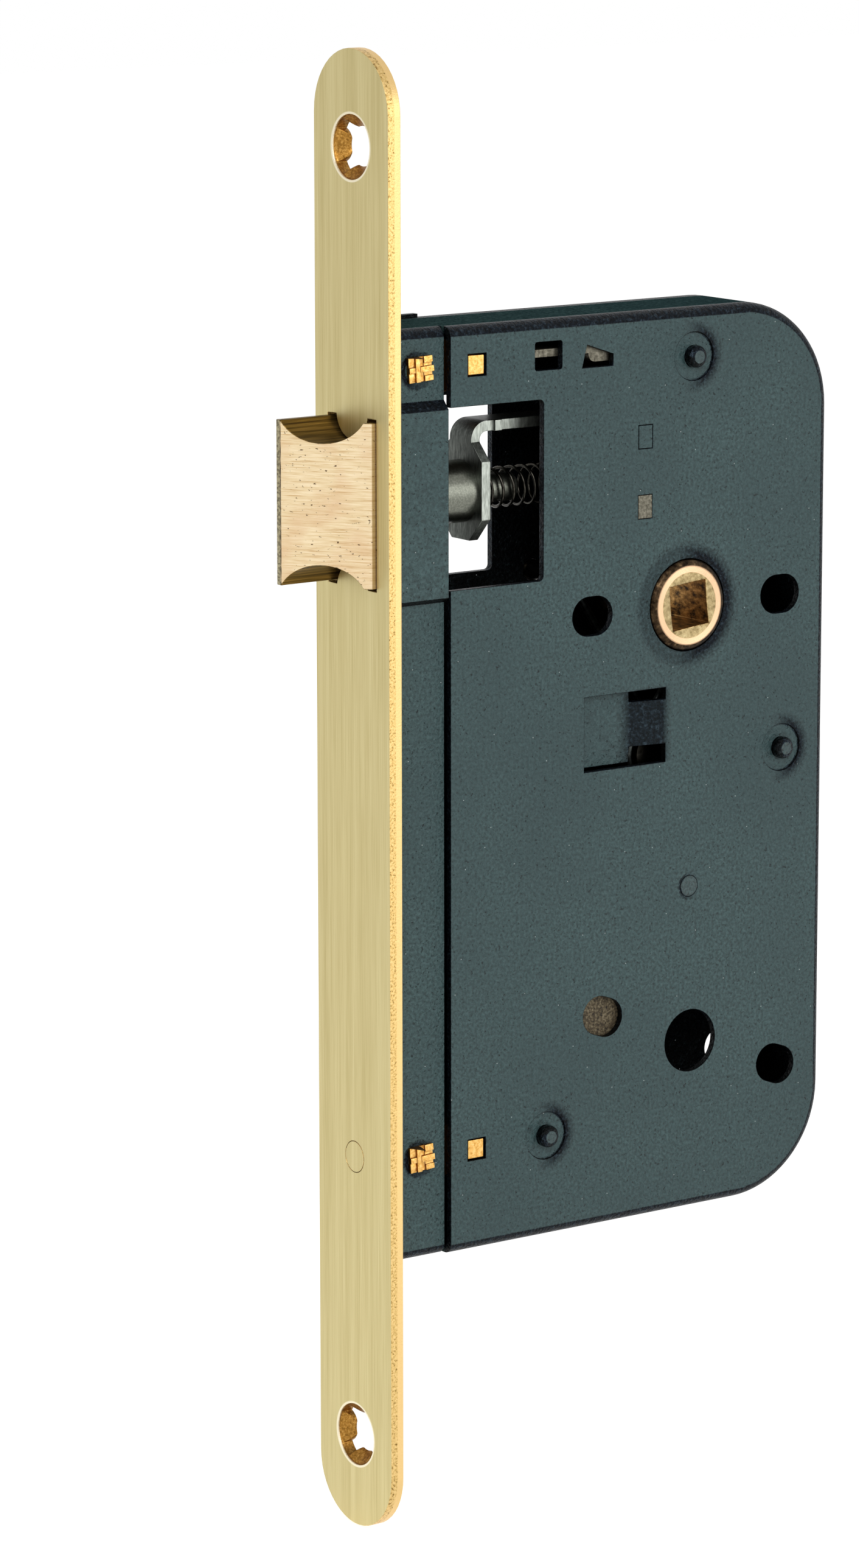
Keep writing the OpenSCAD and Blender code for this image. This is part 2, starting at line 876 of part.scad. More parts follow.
// One shoulder with its rounded rim, bright ring and dished face, standing out to -Y
module shoulder() {
    out_y = plate_y + shoulder_out;
    rim_r = (shoulder_d - ring_d) / 2;
    rotate([90, 0, 0])
        rotate_extrude()
            difference() {
                union() {
                    square([shoulder_d / 2, out_y - rim_r]);
                    square([ring_d / 2, out_y]);
                    intersection() {
                        translate([ring_d / 2, out_y - rim_r])
                            square(rim_r);
                        translate([ring_d / 2, out_y - rim_r])
                            circle(r = rim_r);
                    }
                }
                polygon([
                    [0, out_y - dish_depth], [dish_d / 2, out_y], [dish_d / 2, out_y + cut],
                    [0, out_y + cut]
                ]);
            }
}

// A lever from the hub out to a round tip, with a narrower neck below the tip
module lever_outline(length) {
    polygon([
        [-lever_root, 0], [lever_root, 0], [lever_neck, length - lever_neck_l], [lever_neck, length],
        [-lever_neck, length], [-lever_neck, length - lever_neck_l]
    ]);
    translate([0, length])
        circle(r = tip_r);
}

module follower() {
    color("#B98A4A")
        translate([backset, 0, follower_z])
            difference() {
                union() {
                    round_y([0, 0], body_d, body_gap - inner_y, inner_y - body_gap);
                    for (side = [0, 1])
                        mirror([0, side, 0])
                            shoulder();
                    along_y(-lever_t / 2, lever_t)
                        rotate(lever_lean) {
                            lever_outline(lever_l);
                            rotate(180)
                                lever_outline(toe_l);
                        }
                }
                along_y(-case_t, 2 * case_t)
                    rotate(square_turn)
                        square(square_w, center = true);
            }
}

// The follower's torsion spring, its coil round the post
module follower_spring() {
    turn = 360 * return_turns;
    steps = ceil(return_turns * wire_steps);
    coil = [
        for (i = [0:steps])
            let (a = toe_start + turn * i / steps, left = return_turns * (1 - i / steps))
                [post_x + return_r * cos(a), return_y - return_pitch * left, post_z + return_r * sin(a)]
    ];
    coil_frames = [
        for (i = [0:steps])
            let (a = toe_start + turn * i / steps)
                [[cos(a), 0, sin(a)], [0, 1, 0]]
    ];
    toe_end = coil[0] + toe_leg_l * [cos(toe_leg_angle), 0, sin(toe_leg_angle)];
    still_end = coil[steps] + still_leg_l * [cos(still_leg_angle), 0, sin(still_leg_angle)];
    color("#55585A")
        wire(
            concat([toe_end], coil, [still_end]),
            concat([coil_frames[0]], coil_frames, [coil_frames[steps]]),
            return_wire / 2
        );
}

// Latch

// The latch head's outline seen from above: a nose flat, a bevel and a rounded shoulder
module head_plan() {
    half = latch_w / 2;
    bevel_x = -latch_flank;
    difference() {
        translate([-latch_out, -half])
            square([head_l, latch_w]);
        polygon([
            [-latch_out - cut, half - latch_nose], [-latch_out, half - latch_nose],
            [bevel_x, -half], [bevel_x, -half - cut], [-latch_out - cut, -half - cut]
        ]);
    }
}

module latch_head() {
    color("#D8B98C")
        translate([0, 0, latch_z])
            intersection() {
                along_x(-latch_out, head_l)
                    grooved_bar(latch_w, latch_h, groove_z, groove_r);
                translate([0, 0, -latch_h])
                    linear_extrude(2 * latch_h)
                        head_plan();
            }
}

module latch_stem() {
    color("#A8A69E")
        translate([0, 0, latch_z])
            rotate([0, 90, 0])
                rotate_extrude()
                    polygon([
                        [0, latch_back], [stem_d / 2, latch_back], [stem_d / 2, carriage_x],
                        [tail_d / 2, carriage_x], [tail_d / 2, cross_x + tail_l - tail_bevel],
                        [tail_d / 2 - tail_bevel, cross_x + tail_l], [0, cross_x + tail_l]
                    ]);
}

// The cross plate's outline in (y, z)
module cross_outline() {
    half = cross_w / 2;
    low = cross_lift - cross_edge / 2;
    high = cross_lift + cross_edge / 2;
    foot = low - cross_slope * cross_chamfer;
    neck = arm_w / 2;
    polygon([
        [-half, low], [cross_chamfer - half, foot], [half - cross_chamfer, foot], [half, low],
        [half, high], [neck, high + half - neck], [neck, arm_rise - arm_bend],
        [-neck, arm_rise - arm_bend], [-neck, high + half - neck], [-half, high]
    ]);
}

// A quarter bend of the strip in (x, z), from its centre
module strip_bend() {
    intersection() {
        difference() {
            circle(r = arm_bend + strip_t);
            circle(r = arm_bend);
        }
        square(arm_bend + strip_t);
    }
}

module latch_carriage() {
    half = arm_w / 2;
    front_bend_x = cross_x + arm_bend;
    leg_bend_x = leg_x - arm_bend;
    bend_z = arm_low - arm_bend;
    color("#A3A199") {
        difference() {
            along_x(carriage_x, strip_t)
                translate([0, latch_z])
                    cross_outline();
            translate([carriage_x - cut, 0, latch_z])
                rotate([0, 90, 0])
                    cylinder(d = tail_d + 2 * tail_gap, h = strip_t + 2 * cut);
        }
        along_y(-half, arm_w) {
            translate([front_bend_x, bend_z])
                mirror([1, 0])
                    strip_bend();
            translate([front_bend_x, arm_low])
                square([leg_bend_x - front_bend_x, strip_t]);
            translate([leg_bend_x, bend_z])
                strip_bend();
            translate([leg_x, leg_low])
                square([strip_t, bend_z - leg_low]);
        }
        along_y(-half - nib_out, nib_out)
            translate([nib_x, arm_low])
                square([nib_l, strip_t]);
    }
}

// The latch spring from the carriage to the wall
module latch_spring() {
    closed = closed_turns * wire_steps;
    open = open_turns * wire_steps;
    end = end_turns * wire_steps;
    step = 360 / wire_steps;
    open_pitch = open_length / open_turns;
    last = closed + open + end;
    reach = [
        for (i = [0:last])
            spring_from
                + closed_pitch * min(i, closed) / wire_steps
                + open_pitch * max(0, min(i - closed, open)) / wire_steps
                + closed_pitch * max(0, i - closed - open) / wire_steps
    ];
    color("#6A6355")
        translate([0, 0, latch_z])
            wire(
                [for (i = [0:last]) [reach[i], spring_r * cos(i * step), spring_r * sin(i * step)]],
                [for (i = [0:last]) [[0, cos(i * step), sin(i * step)], [1, 0, 0]]],
                latch_wire / 2
            );
}

forend();
foot_upper();
foot_lower();
case_tray();
case_cover();
rivet_upper();
rivet_rear();
rivet_lower();
spacer_pin();
slot_plug();
spring_wall();
upper_strap();
spring_post();
spring_peg();
follower();
follower_spring();
latch_head();
latch_stem();
latch_carriage();
latch_spring();
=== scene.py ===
import bmesh
import bpy
import math
from mathutils import Matrix, Vector


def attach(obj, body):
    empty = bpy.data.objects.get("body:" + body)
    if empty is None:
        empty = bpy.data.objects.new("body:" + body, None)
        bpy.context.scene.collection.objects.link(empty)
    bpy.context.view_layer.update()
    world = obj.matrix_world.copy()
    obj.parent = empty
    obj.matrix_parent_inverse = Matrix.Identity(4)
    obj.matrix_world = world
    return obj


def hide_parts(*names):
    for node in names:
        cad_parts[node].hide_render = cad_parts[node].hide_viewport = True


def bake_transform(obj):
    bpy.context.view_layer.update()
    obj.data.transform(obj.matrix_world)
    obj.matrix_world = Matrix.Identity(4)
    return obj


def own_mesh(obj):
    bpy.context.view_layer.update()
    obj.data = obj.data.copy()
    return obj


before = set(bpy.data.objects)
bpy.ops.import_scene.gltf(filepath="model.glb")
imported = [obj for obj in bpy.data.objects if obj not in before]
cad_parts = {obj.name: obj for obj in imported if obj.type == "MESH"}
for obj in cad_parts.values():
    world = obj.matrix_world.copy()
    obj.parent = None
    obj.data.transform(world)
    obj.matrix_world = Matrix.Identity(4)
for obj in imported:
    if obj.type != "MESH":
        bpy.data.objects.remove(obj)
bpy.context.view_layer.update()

MM = 0.001
bpy.ops.object.select_all(action="DESELECT")

# The lock's own places, in millimetres, as the solids have them.
CHEEK_Y = 6.5
LATCH_Z = 47.9
FLANK_X = -0.7
FLANK_Y = 6.45
CARRIAGE_BACK_X = 22.3
WALL_X = 50.05
FOLLOWER_X = 60.0
FOLLOWER_Z = 27.0
CASE_CENTRE = (44.0, 0.0, 0.75)
FRONT_STUDS = ((8.1, 68.55, 4.5, 3.9), (8.1, -56.65, 4.5, 4.1))
STUD_TILT = 4.0
SCREW_Z = 102.5
# Painted shade round the follower, rivets, pin and stud heads, where the sheet dishes and shadow falls: centre, where
# the shade starts, turns up and ends, and the side its shadow falls to
SHADE_DIPS = (
    (FOLLOWER_X, FOLLOWER_Z, 7.2, 8.8, 11.0, 0.5), (61.0, 66.95, 4.1, 4.6, 6.4, 1.0),
    (79.6, 1.6, 4.1, 4.6, 6.4, 1.0), (32.15, -56.55, 4.1, 4.6, 6.4, 1.0),
    (60.8, -19.2, 2.0, 2.3, 2.8, -1.0), (7.6, 68.3, 2.5, 3.1, 3.7, -0.4), (7.9, -56.9, 2.5, 3.1, 3.7, -0.4),
)
RIVETS = {"rivet_upper": (61.0, 66.95), "rivet_rear": (79.6, 1.6), "rivet_lower": (32.15, -56.55)}
SPRING_RADIUS = 3.05
SPRING_WIRE = 0.5
WALL_SPLIT_Z = 50.0
PLATE_Y = 7.5
RIVET_STUB_R = 1.8
RIVET_STUB_OUT = 1.35
POST_X = 56.7
POST_Z = 2.5
RETURN_WIRE = 1.2
RETURN_RADIUS = 4.6
RETURN_TURNS = 2.69
STILL_ANGLE = 34.0
STILL_Y = 0.8
STILL_LEG = ((60.51, 0.8, 5.07), (39.55, 0.8, 36.16))
TOE_Y = -2.59
TOE_LEG = ((52.95, -2.59, 5.16), (60.32, -2.59, 14.8))
FLOOR_Z = -117.8
PAINT_GLOSS = 0.3
# Faces before this belong to the tenon's end, which was ground with the forend
TENON_END_X = 0.6


# Camera and light

def set_camera():
    """A long lens seen from the forend's front left, a little above the latch."""
    azimuth, elevation, roll = (math.radians(a) for a in (-35.269, 11.239, -0.071))
    back = Vector((
        math.sin(azimuth) * math.cos(elevation),
        -math.cos(azimuth) * math.cos(elevation),
        math.sin(elevation),
    ))
    right = Vector((0, 0, 1)).cross(back).normalized()
    up = back.cross(right)
    target = (right * 11.947 + up * 3.366) * MM
    rolled_right = right * math.cos(roll) + up * math.sin(roll)
    rolled_up = up * math.cos(roll) - right * math.sin(roll)
    data = bpy.data.cameras.new("lock_camera")
    data.sensor_fit = "AUTO"
    data.sensor_width = 36
    data.lens = 125.56
    data.clip_start = 0.05
    data.clip_end = 20
    camera = bpy.data.objects.new("lock_camera", data)
    bpy.context.scene.collection.objects.link(camera)
    place = Matrix((rolled_right, rolled_up, back)).transposed().to_4x4()
    place.translation = target + back * 0.854
    camera.matrix_world = place
    bpy.context.scene.camera = camera


def add_lamp(name, place, size, watts, aim=(0.03, 0, 0)):
    data = bpy.data.lights.new(name, "AREA")
    data.shape = "DISK"
    data.size = size
    data.energy = watts
    lamp = bpy.data.objects.new(name, data)
    lamp.location = place
    direction = Vector(aim) - Vector(place)
    lamp.rotation_euler = direction.to_track_quat("-Z", "Y").to_euler()
    bpy.context.scene.collection.objects.link(lamp)


# Materials

def linear(code):
    """An sRGB hex colour as linear red, green, blue and alpha."""
    values = [int(code[i:i + 2], 16) / 255 for i in (1, 3, 5)]
    return [v / 12.92 if v <= 0.04045 else ((v + 0.055) / 1.055) ** 2.4 for v in values] + [1.0]


def add_node(tree, kind, inputs=None, stops=None, **settings):
    """Adds a shader node with its settings, and returns its output. An input is a value, a hex
    colour or the output that feeds it; stops are a colour ramp's places and hex colours."""
    node = tree.nodes.new(kind)
    for key, value in settings.items():
        setattr(node, key, value)
    for key, value in (inputs or {}).items():
        socket = next(s for i, s in enumerate(node.inputs) if key in (i, s.name) and s.enabled)
        if isinstance(value, bpy.types.NodeSocket):
            tree.links.new(value, socket)
        else:
            socket.default_value = linear(value) if isinstance(value, str) else value
    for place, colour in stops or ():
        stop = node.color_ramp.elements.new(place)
        stop.color = linear(colour)
    if stops:
        node.color_ramp.elements.remove(node.color_ramp.elements[0])
        node.color_ramp.elements.remove(node.color_ramp.elements[-1])
    return next((s for s in node.outputs if s.enabled), None)


def new_material(name):
    """An empty material: its tree and its shader."""
    material = bpy.data.materials.new(name)
    material.use_nodes = True
    tree = material.node_tree
    tree.nodes.clear()
    shader = tree.nodes.new("ShaderNodeBsdfPrincipled")
    out = tree.nodes.new("ShaderNodeOutputMaterial")
    tree.links.new(shader.outputs["BSDF"], out.inputs["Surface"])
    return material, tree, shader


def object_place(tree, scale=(1000, 1000, 1000), turn=(0, 0, 0), move=(0, 0, 0)):
    """Object coordinates in millimetres, then moved, turned and stretched by a Mapping node."""
    place = add_node(tree, "ShaderNodeTexCoord").node.outputs["Object"]
    return add_node(tree, "ShaderNodeMapping",
                    {"Vector": place, "Scale": scale, "Rotation": turn, "Location": move})


def brushed_brass():
    """Rolled brass plate, belt-brushed along its length and left unlacquered: fine upright streaks
    in a satin pale olive gold. Its sheared edge has a torn, grainy band next to the front and a
    smooth, brighter one behind it."""
    material, tree, shader = new_material("brushed_brass")
    # Streaks some 0.1 mm wide and 15 mm long
    streaks = add_node(tree, "ShaderNodeTexNoise", {
        "Vector": object_place(tree, (7000, 7000, 60)), "Scale": 1.0, "Detail": 3.0, "Roughness": 0.65})
    # Fainter ones 1 mm wide
    bands = add_node(tree, "ShaderNodeTexNoise", {
        "Vector": object_place(tree, (700, 700, 12)), "Scale": 1.0, "Detail": 2.0})
    both = add_node(tree, "ShaderNodeMix", {"Factor": 0.35, "A": streaks, "B": bands})
    face = add_node(tree, "ShaderNodeValToRGB", {"Fac": both},
                    [(0.3, "#AFA06B"), (0.5, "#C3B583"), (0.7, "#D0C494")])
    # Torn grains of about 0.3 mm
    grain = add_node(tree, "ShaderNodeTexNoise", {
        "Vector": object_place(tree, (2600, 2600, 2600)), "Scale": 1.0, "Detail": 3.0, "Roughness": 0.7})
    torn = add_node(tree, "ShaderNodeValToRGB", {"Fac": grain},
                    [(0.34, "#6E5428"), (0.45, "#C8A766"), (0.62, "#DDBE82")])
    place = add_node(tree, "ShaderNodeTexCoord").node.outputs["Object"]
    depth = add_node(tree, "ShaderNodeSeparateXYZ", {"Vector": place})
    behind = add_node(tree, "ShaderNodeMapRange",
                      {"Value": depth, "From Min": 1.15 * MM, "From Max": 1.3 * MM})
    edge = add_node(tree, "ShaderNodeMix", {"Factor": behind, "A": torn, "B": "#DDBC80"}, data_type="RGBA")
    normal = add_node(tree, "ShaderNodeNewGeometry").node.outputs["Normal"]
    across = add_node(tree, "ShaderNodeSeparateXYZ", {"Vector": normal})
    facing = add_node(tree, "ShaderNodeMath", {0: across}, operation="ABSOLUTE")
    front = add_node(tree, "ShaderNodeMapRange", {"Value": facing, "From Min": 0.5, "From Max": 0.8})
    colour = add_node(tree, "ShaderNodeMix", {"Factor": front, "A": edge, "B": face}, data_type="RGBA")
    # Inside the screw holes the brass keeps its cast skin, darker and redder, behind a bright rim
    skin = add_node(tree, "ShaderNodeValToRGB", {"Fac": grain},
                    [(0.3, "#6B4B1E"), (0.5, "#94692C"), (0.7, "#BB8F4B")])
    height = add_node(tree, "ShaderNodeSeparateXYZ", {"Vector": place}).node.outputs["Z"]
    above = add_node(tree, "ShaderNodeMath", {0: height}, operation="ABSOLUTE")
    sideways = add_node(tree, "ShaderNodeSeparateXYZ", {"Vector": place}).node.outputs["Y"]
    rise = add_node(tree, "ShaderNodeMath", {0: above, 1: SCREW_Z * MM}, operation="SUBTRACT")
    flat_place = add_node(tree, "ShaderNodeCombineXYZ", {"X": sideways, "Y": rise})
    radius = add_node(tree, "ShaderNodeVectorMath", {0: flat_place}, operation="LENGTH").node.outputs["Value"]
    in_hole = add_node(tree, "ShaderNodeMapRange", {"Value": radius, "From Min": 5.2 * MM, "From Max": 5.1 * MM})
    sunk = add_node(tree, "ShaderNodeMapRange", {"Value": depth, "From Min": 0.15 * MM, "From Max": 0.3 * MM})
    cast = add_node(tree, "ShaderNodeMath", {0: in_hole, 1: sunk}, operation="MULTIPLY")
    colour = add_node(tree, "ShaderNodeMix", {"Factor": cast, "A": colour, "B": skin}, data_type="RGBA")
    near_rim = add_node(tree, "ShaderNodeMapRange", {"Value": radius, "From Min": 5.45 * MM, "From Max": 5.3 * MM})
    bright = add_node(tree, "ShaderNodeMath", {0: near_rim, 1: cast}, operation="SUBTRACT", use_clamp=True)
    colour = add_node(tree, "ShaderNodeMix", {"Factor": bright, "A": colour, "B": "#E6DCC0"}, data_type="RGBA")
    rough = add_node(tree, "ShaderNodeBump", {"Height": grain, "Distance": 0.10 * MM, "Strength": 0.5})
    fine = add_node(tree, "ShaderNodeBump", {"Height": both, "Distance": 0.02 * MM, "Strength": 0.5})
    relief = add_node(tree, "ShaderNodeMix", {"Factor": front, "A": rough, "B": fine}, data_type="VECTOR")
    tree.links.new(colour, shader.inputs["Base Color"])
    tree.links.new(relief, shader.inputs["Normal"])
    shader.inputs["Metallic"].default_value = 1.0
    shader.inputs["Roughness"].default_value = 0.4
    return material


def stoved_paint(name, roughness):
    """Dark slate-green stoved paint on pressed steel: a fine orange peel with pinholes and a rare pale speck on the
    flat faces. Where the sheet turns, round the dips, on the pressed tab's ramp and inside the case it is painted
    nearly black as painted shade."""
    material, tree, shader = new_material(name)
    # Orange peel of about 0.5 mm
    peel = add_node(tree, "ShaderNodeTexNoise", {
        "Vector": object_place(tree, (2000, 2000, 2000)), "Scale": 1.0, "Detail": 3.0,
        "Roughness": 0.55, "Distortion": 0.3})
    # Pinholes of about 0.2 mm, one or two to the millimetre
    pores = add_node(tree, "ShaderNodeTexNoise", {
        "Vector": object_place(tree, (2300, 2300, 2300), (0.4, 0.9, 0.2)), "Scale": 1.0, "Detail": 1.0})
    pinholes = add_node(tree, "ShaderNodeMapRange", {
        "Value": pores, "From Min": 0.68, "From Max": 0.76, "To Max": 0.8})
    # Clouds of about 25 mm, from the coat's thickness
    clouds = add_node(tree, "ShaderNodeTexNoise", {
        "Vector": object_place(tree, (40, 40, 40)), "Scale": 1.0, "Detail": 2.0})
    # Specks 0.15 mm across, one in some 100 square millimetres
    spread = add_node(tree, "ShaderNodeTexVoronoi", {
        "Vector": object_place(tree, (100, 100, 100), (math.radians(90), 0, 0)), "Scale": 1.0},
        voronoi_dimensions="2D")
    specks = add_node(tree, "ShaderNodeMapRange", {
        "Value": spread, "From Min": 0.006, "From Max": 0.009, "To Min": 0.8, "To Max": 0.0})
    flat = add_node(tree, "ShaderNodeValToRGB", {"Fac": peel},
                    [(0.3, "#1E2F30"), (0.5, "#344A4B"), (0.7, "#465E5F")])
    thick = add_node(tree, "ShaderNodeMapRange", {
        "Value": clouds, "From Min": 0.35, "From Max": 0.65, "To Min": 0.0, "To Max": 0.5})
    flat = add_node(tree, "ShaderNodeMix", {"Factor": thick, "A": flat, "B": "#293D3F"}, data_type="RGBA")
    # Painted shade: the near-black tone for turned faces, the dips and the tab's ramp
    shade_tone = add_node(tree, "ShaderNodeValToRGB", {"Fac": peel},
                    [(0.4, "#06090D"), (0.55, "#10171E"), (0.7, "#28333B")])
    # Painted shade: the inside of the case is painted nearly black
    inside_shade = add_node(tree, "ShaderNodeValToRGB", {"Fac": peel},
                      [(0.45, "#060809"), (0.6, "#0E1315"), (0.72, "#262E30")])
    place = add_node(tree, "ShaderNodeTexCoord").node.outputs["Object"]
    normal = add_node(tree, "ShaderNodeNewGeometry").node.outputs["Normal"]
    centred = add_node(tree, "ShaderNodeVectorMath", {0: place, 1: [c * MM for c in CASE_CENTRE]},
                       operation="SUBTRACT")
    outward = add_node(tree, "ShaderNodeVectorMath", {0: centred, 1: normal}, operation="DOT_PRODUCT")
    outside = add_node(tree, "ShaderNodeMapRange", {"Value": outward, "From Min": -0.1 * MM, "From Max": 0.1 * MM})
    along = add_node(tree, "ShaderNodeSeparateXYZ", {"Vector": normal}).node.outputs["Y"]
    facing = add_node(tree, "ShaderNodeMath", {0: along}, operation="ABSOLUTE")
    # Faces not square to the plates, apart from the rim's flats, take the painted shade
    plate = add_node(tree, "ShaderNodeMapRange", {"Value": facing, "From Min": 0.985, "From Max": 0.9995},
                     interpolation_type="SMOOTHSTEP")
    side = add_node(tree, "ShaderNodeSeparateXYZ", {"Vector": place}).node.outputs["Y"]
    depth = add_node(tree, "ShaderNodeMath", {0: side}, operation="ABSOLUTE")
    inner = add_node(tree, "ShaderNodeMapRange", {"Value": depth, "From Min": 5.9 * MM, "From Max": 5.5 * MM})
    level = add_node(tree, "ShaderNodeMapRange", {"Value": facing, "From Min": 0.2, "From Max": 0.05})
    rim = add_node(tree, "ShaderNodeMath", {0: inner, 1: level}, operation="MULTIPLY")
    even = add_node(tree, "ShaderNodeMath", {0: plate, 1: rim}, operation="MAXIMUM")
    unshaded = even
    # Painted shade round each dip, darkest on its shadow side
    for centre_x, centre_z, start, low, high, lean in SHADE_DIPS:
        flat_place = object_place(tree, (1, 0, 1), move=(-centre_x * MM, 0, -centre_z * MM))
        away = add_node(tree, "ShaderNodeVectorMath", {0: flat_place}, operation="LENGTH").node.outputs["Value"]
        wander = add_node(tree, "ShaderNodeMath", {0: peel, 1: 0.8 * MM, 2: away}, operation="MULTIPLY_ADD")
        dip = add_node(tree, "ShaderNodeMapRange", {"Value": wander, "From Min": low * MM, "From Max": high * MM})
        inside = add_node(tree, "ShaderNodeMapRange", {
            "Value": wander, "From Min": (start - 0.1) * MM, "From Max": start * MM,
            "To Min": 1.0, "To Max": 0.0})
        aside = add_node(tree, "ShaderNodeSeparateXYZ", {"Vector": flat_place})
        shadow_side = add_node(tree, "ShaderNodeMapRange", {
            "Value": aside, "From Min": -2 * MM, "From Max": 2 * MM, "To Min": (lean > 0) * lean,
            "To Max": (lean < 0) * -lean})
        clear = add_node(tree, "ShaderNodeMath", {0: dip, 1: inside}, operation="MAXIMUM")
        clear = add_node(tree, "ShaderNodeMath", {0: clear, 1: shadow_side}, operation="MAXIMUM")
        unshaded = add_node(tree, "ShaderNodeMath", {0: unshaded, 1: clear}, operation="MULTIPLY")
    # The ramp of the pressed tab, darkened with soft ends as painted shade
    place_x = add_node(tree, "ShaderNodeSeparateXYZ", {"Vector": place}).node.outputs["X"]
    place_z = add_node(tree, "ShaderNodeSeparateXYZ", {"Vector": place}).node.outputs["Z"]
    after = add_node(tree, "ShaderNodeMapRange", {"Value": place_x, "From Min": 46.5 * MM, "From Max": 49.5 * MM})
    before = add_node(tree, "ShaderNodeMapRange", {"Value": place_x, "From Min": 57.0 * MM, "From Max": 55.3 * MM})
    over = add_node(tree, "ShaderNodeMapRange", {"Value": place_z, "From Min": 1.6 * MM, "From Max": 2.4 * MM})
    under = add_node(tree, "ShaderNodeMapRange", {"Value": place_z, "From Min": 14.5 * MM, "From Max": 13.6 * MM})
    ramp = add_node(tree, "ShaderNodeMath", {0: after, 1: before}, operation="MULTIPLY")
    ramp = add_node(tree, "ShaderNodeMath", {0: ramp, 1: over}, operation="MULTIPLY")
    ramp = add_node(tree, "ShaderNodeMath", {0: ramp, 1: under}, operation="MULTIPLY")
    ramp_unshaded = add_node(tree, "ShaderNodeMath", {0: ramp, 1: -0.95, 2: 1.0}, operation="MULTIPLY_ADD")
    unshaded = add_node(tree, "ShaderNodeMath", {0: unshaded, 1: ramp_unshaded}, operation="MULTIPLY")
    colour = add_node(tree, "ShaderNodeMix", {"Factor": unshaded, "A": shade_tone, "B": flat}, data_type="RGBA")
    # Inside faces take the painted shade
    colour = add_node(tree, "ShaderNodeMix", {"Factor": outside, "A": inside_shade, "B": colour}, data_type="RGBA")
    colour = add_node(tree, "ShaderNodeMix", {"Factor": pinholes, "A": colour, "B": "#0A1012"}, data_type="RGBA")
    flecks = add_node(tree, "ShaderNodeMath", {0: specks, 1: unshaded}, operation="MULTIPLY")
    colour = add_node(tree, "ShaderNodeMix", {"Factor": flecks, "A": colour, "B": "#C9D3D2"}, data_type="RGBA")
    sunk = add_node(tree, "ShaderNodeMath", {0: pinholes, 1: -0.5, 2: peel}, operation="MULTIPLY_ADD")
    relief = add_node(tree, "ShaderNodeBump", {"Height": sunk, "Distance": 0.3 * MM, "Strength": 1.0})
    # Where shade is painted the paint is made metallic in its dark colour, so its gloss is dark too: painted shade in
    # the reflection
    unshaded_outside = add_node(tree, "ShaderNodeMath", {0: unshaded, 1: outside}, operation="MULTIPLY")
    scale = add_node(tree, "ShaderNodeMath", {0: 0.85, 1: unshaded_outside}, operation="SUBTRACT", use_clamp=True)
    tree.links.new(scale, shader.inputs["Metallic"])
    tree.links.new(colour, shader.inputs["Base Color"])
    tree.links.new(relief, shader.inputs["Normal"])
    shader.inputs["Roughness"].default_value = roughness
    # The rim's flats dried dull, so that the top stays dark when it is seen along its length
    gloss = add_node(tree, "ShaderNodeMath", {0: rim, 1: -PAINT_GLOSS, 2: PAINT_GLOSS}, operation="MULTIPLY_ADD")
    tree.links.new(gloss, shader.inputs["Specular IOR Level"])
    return material


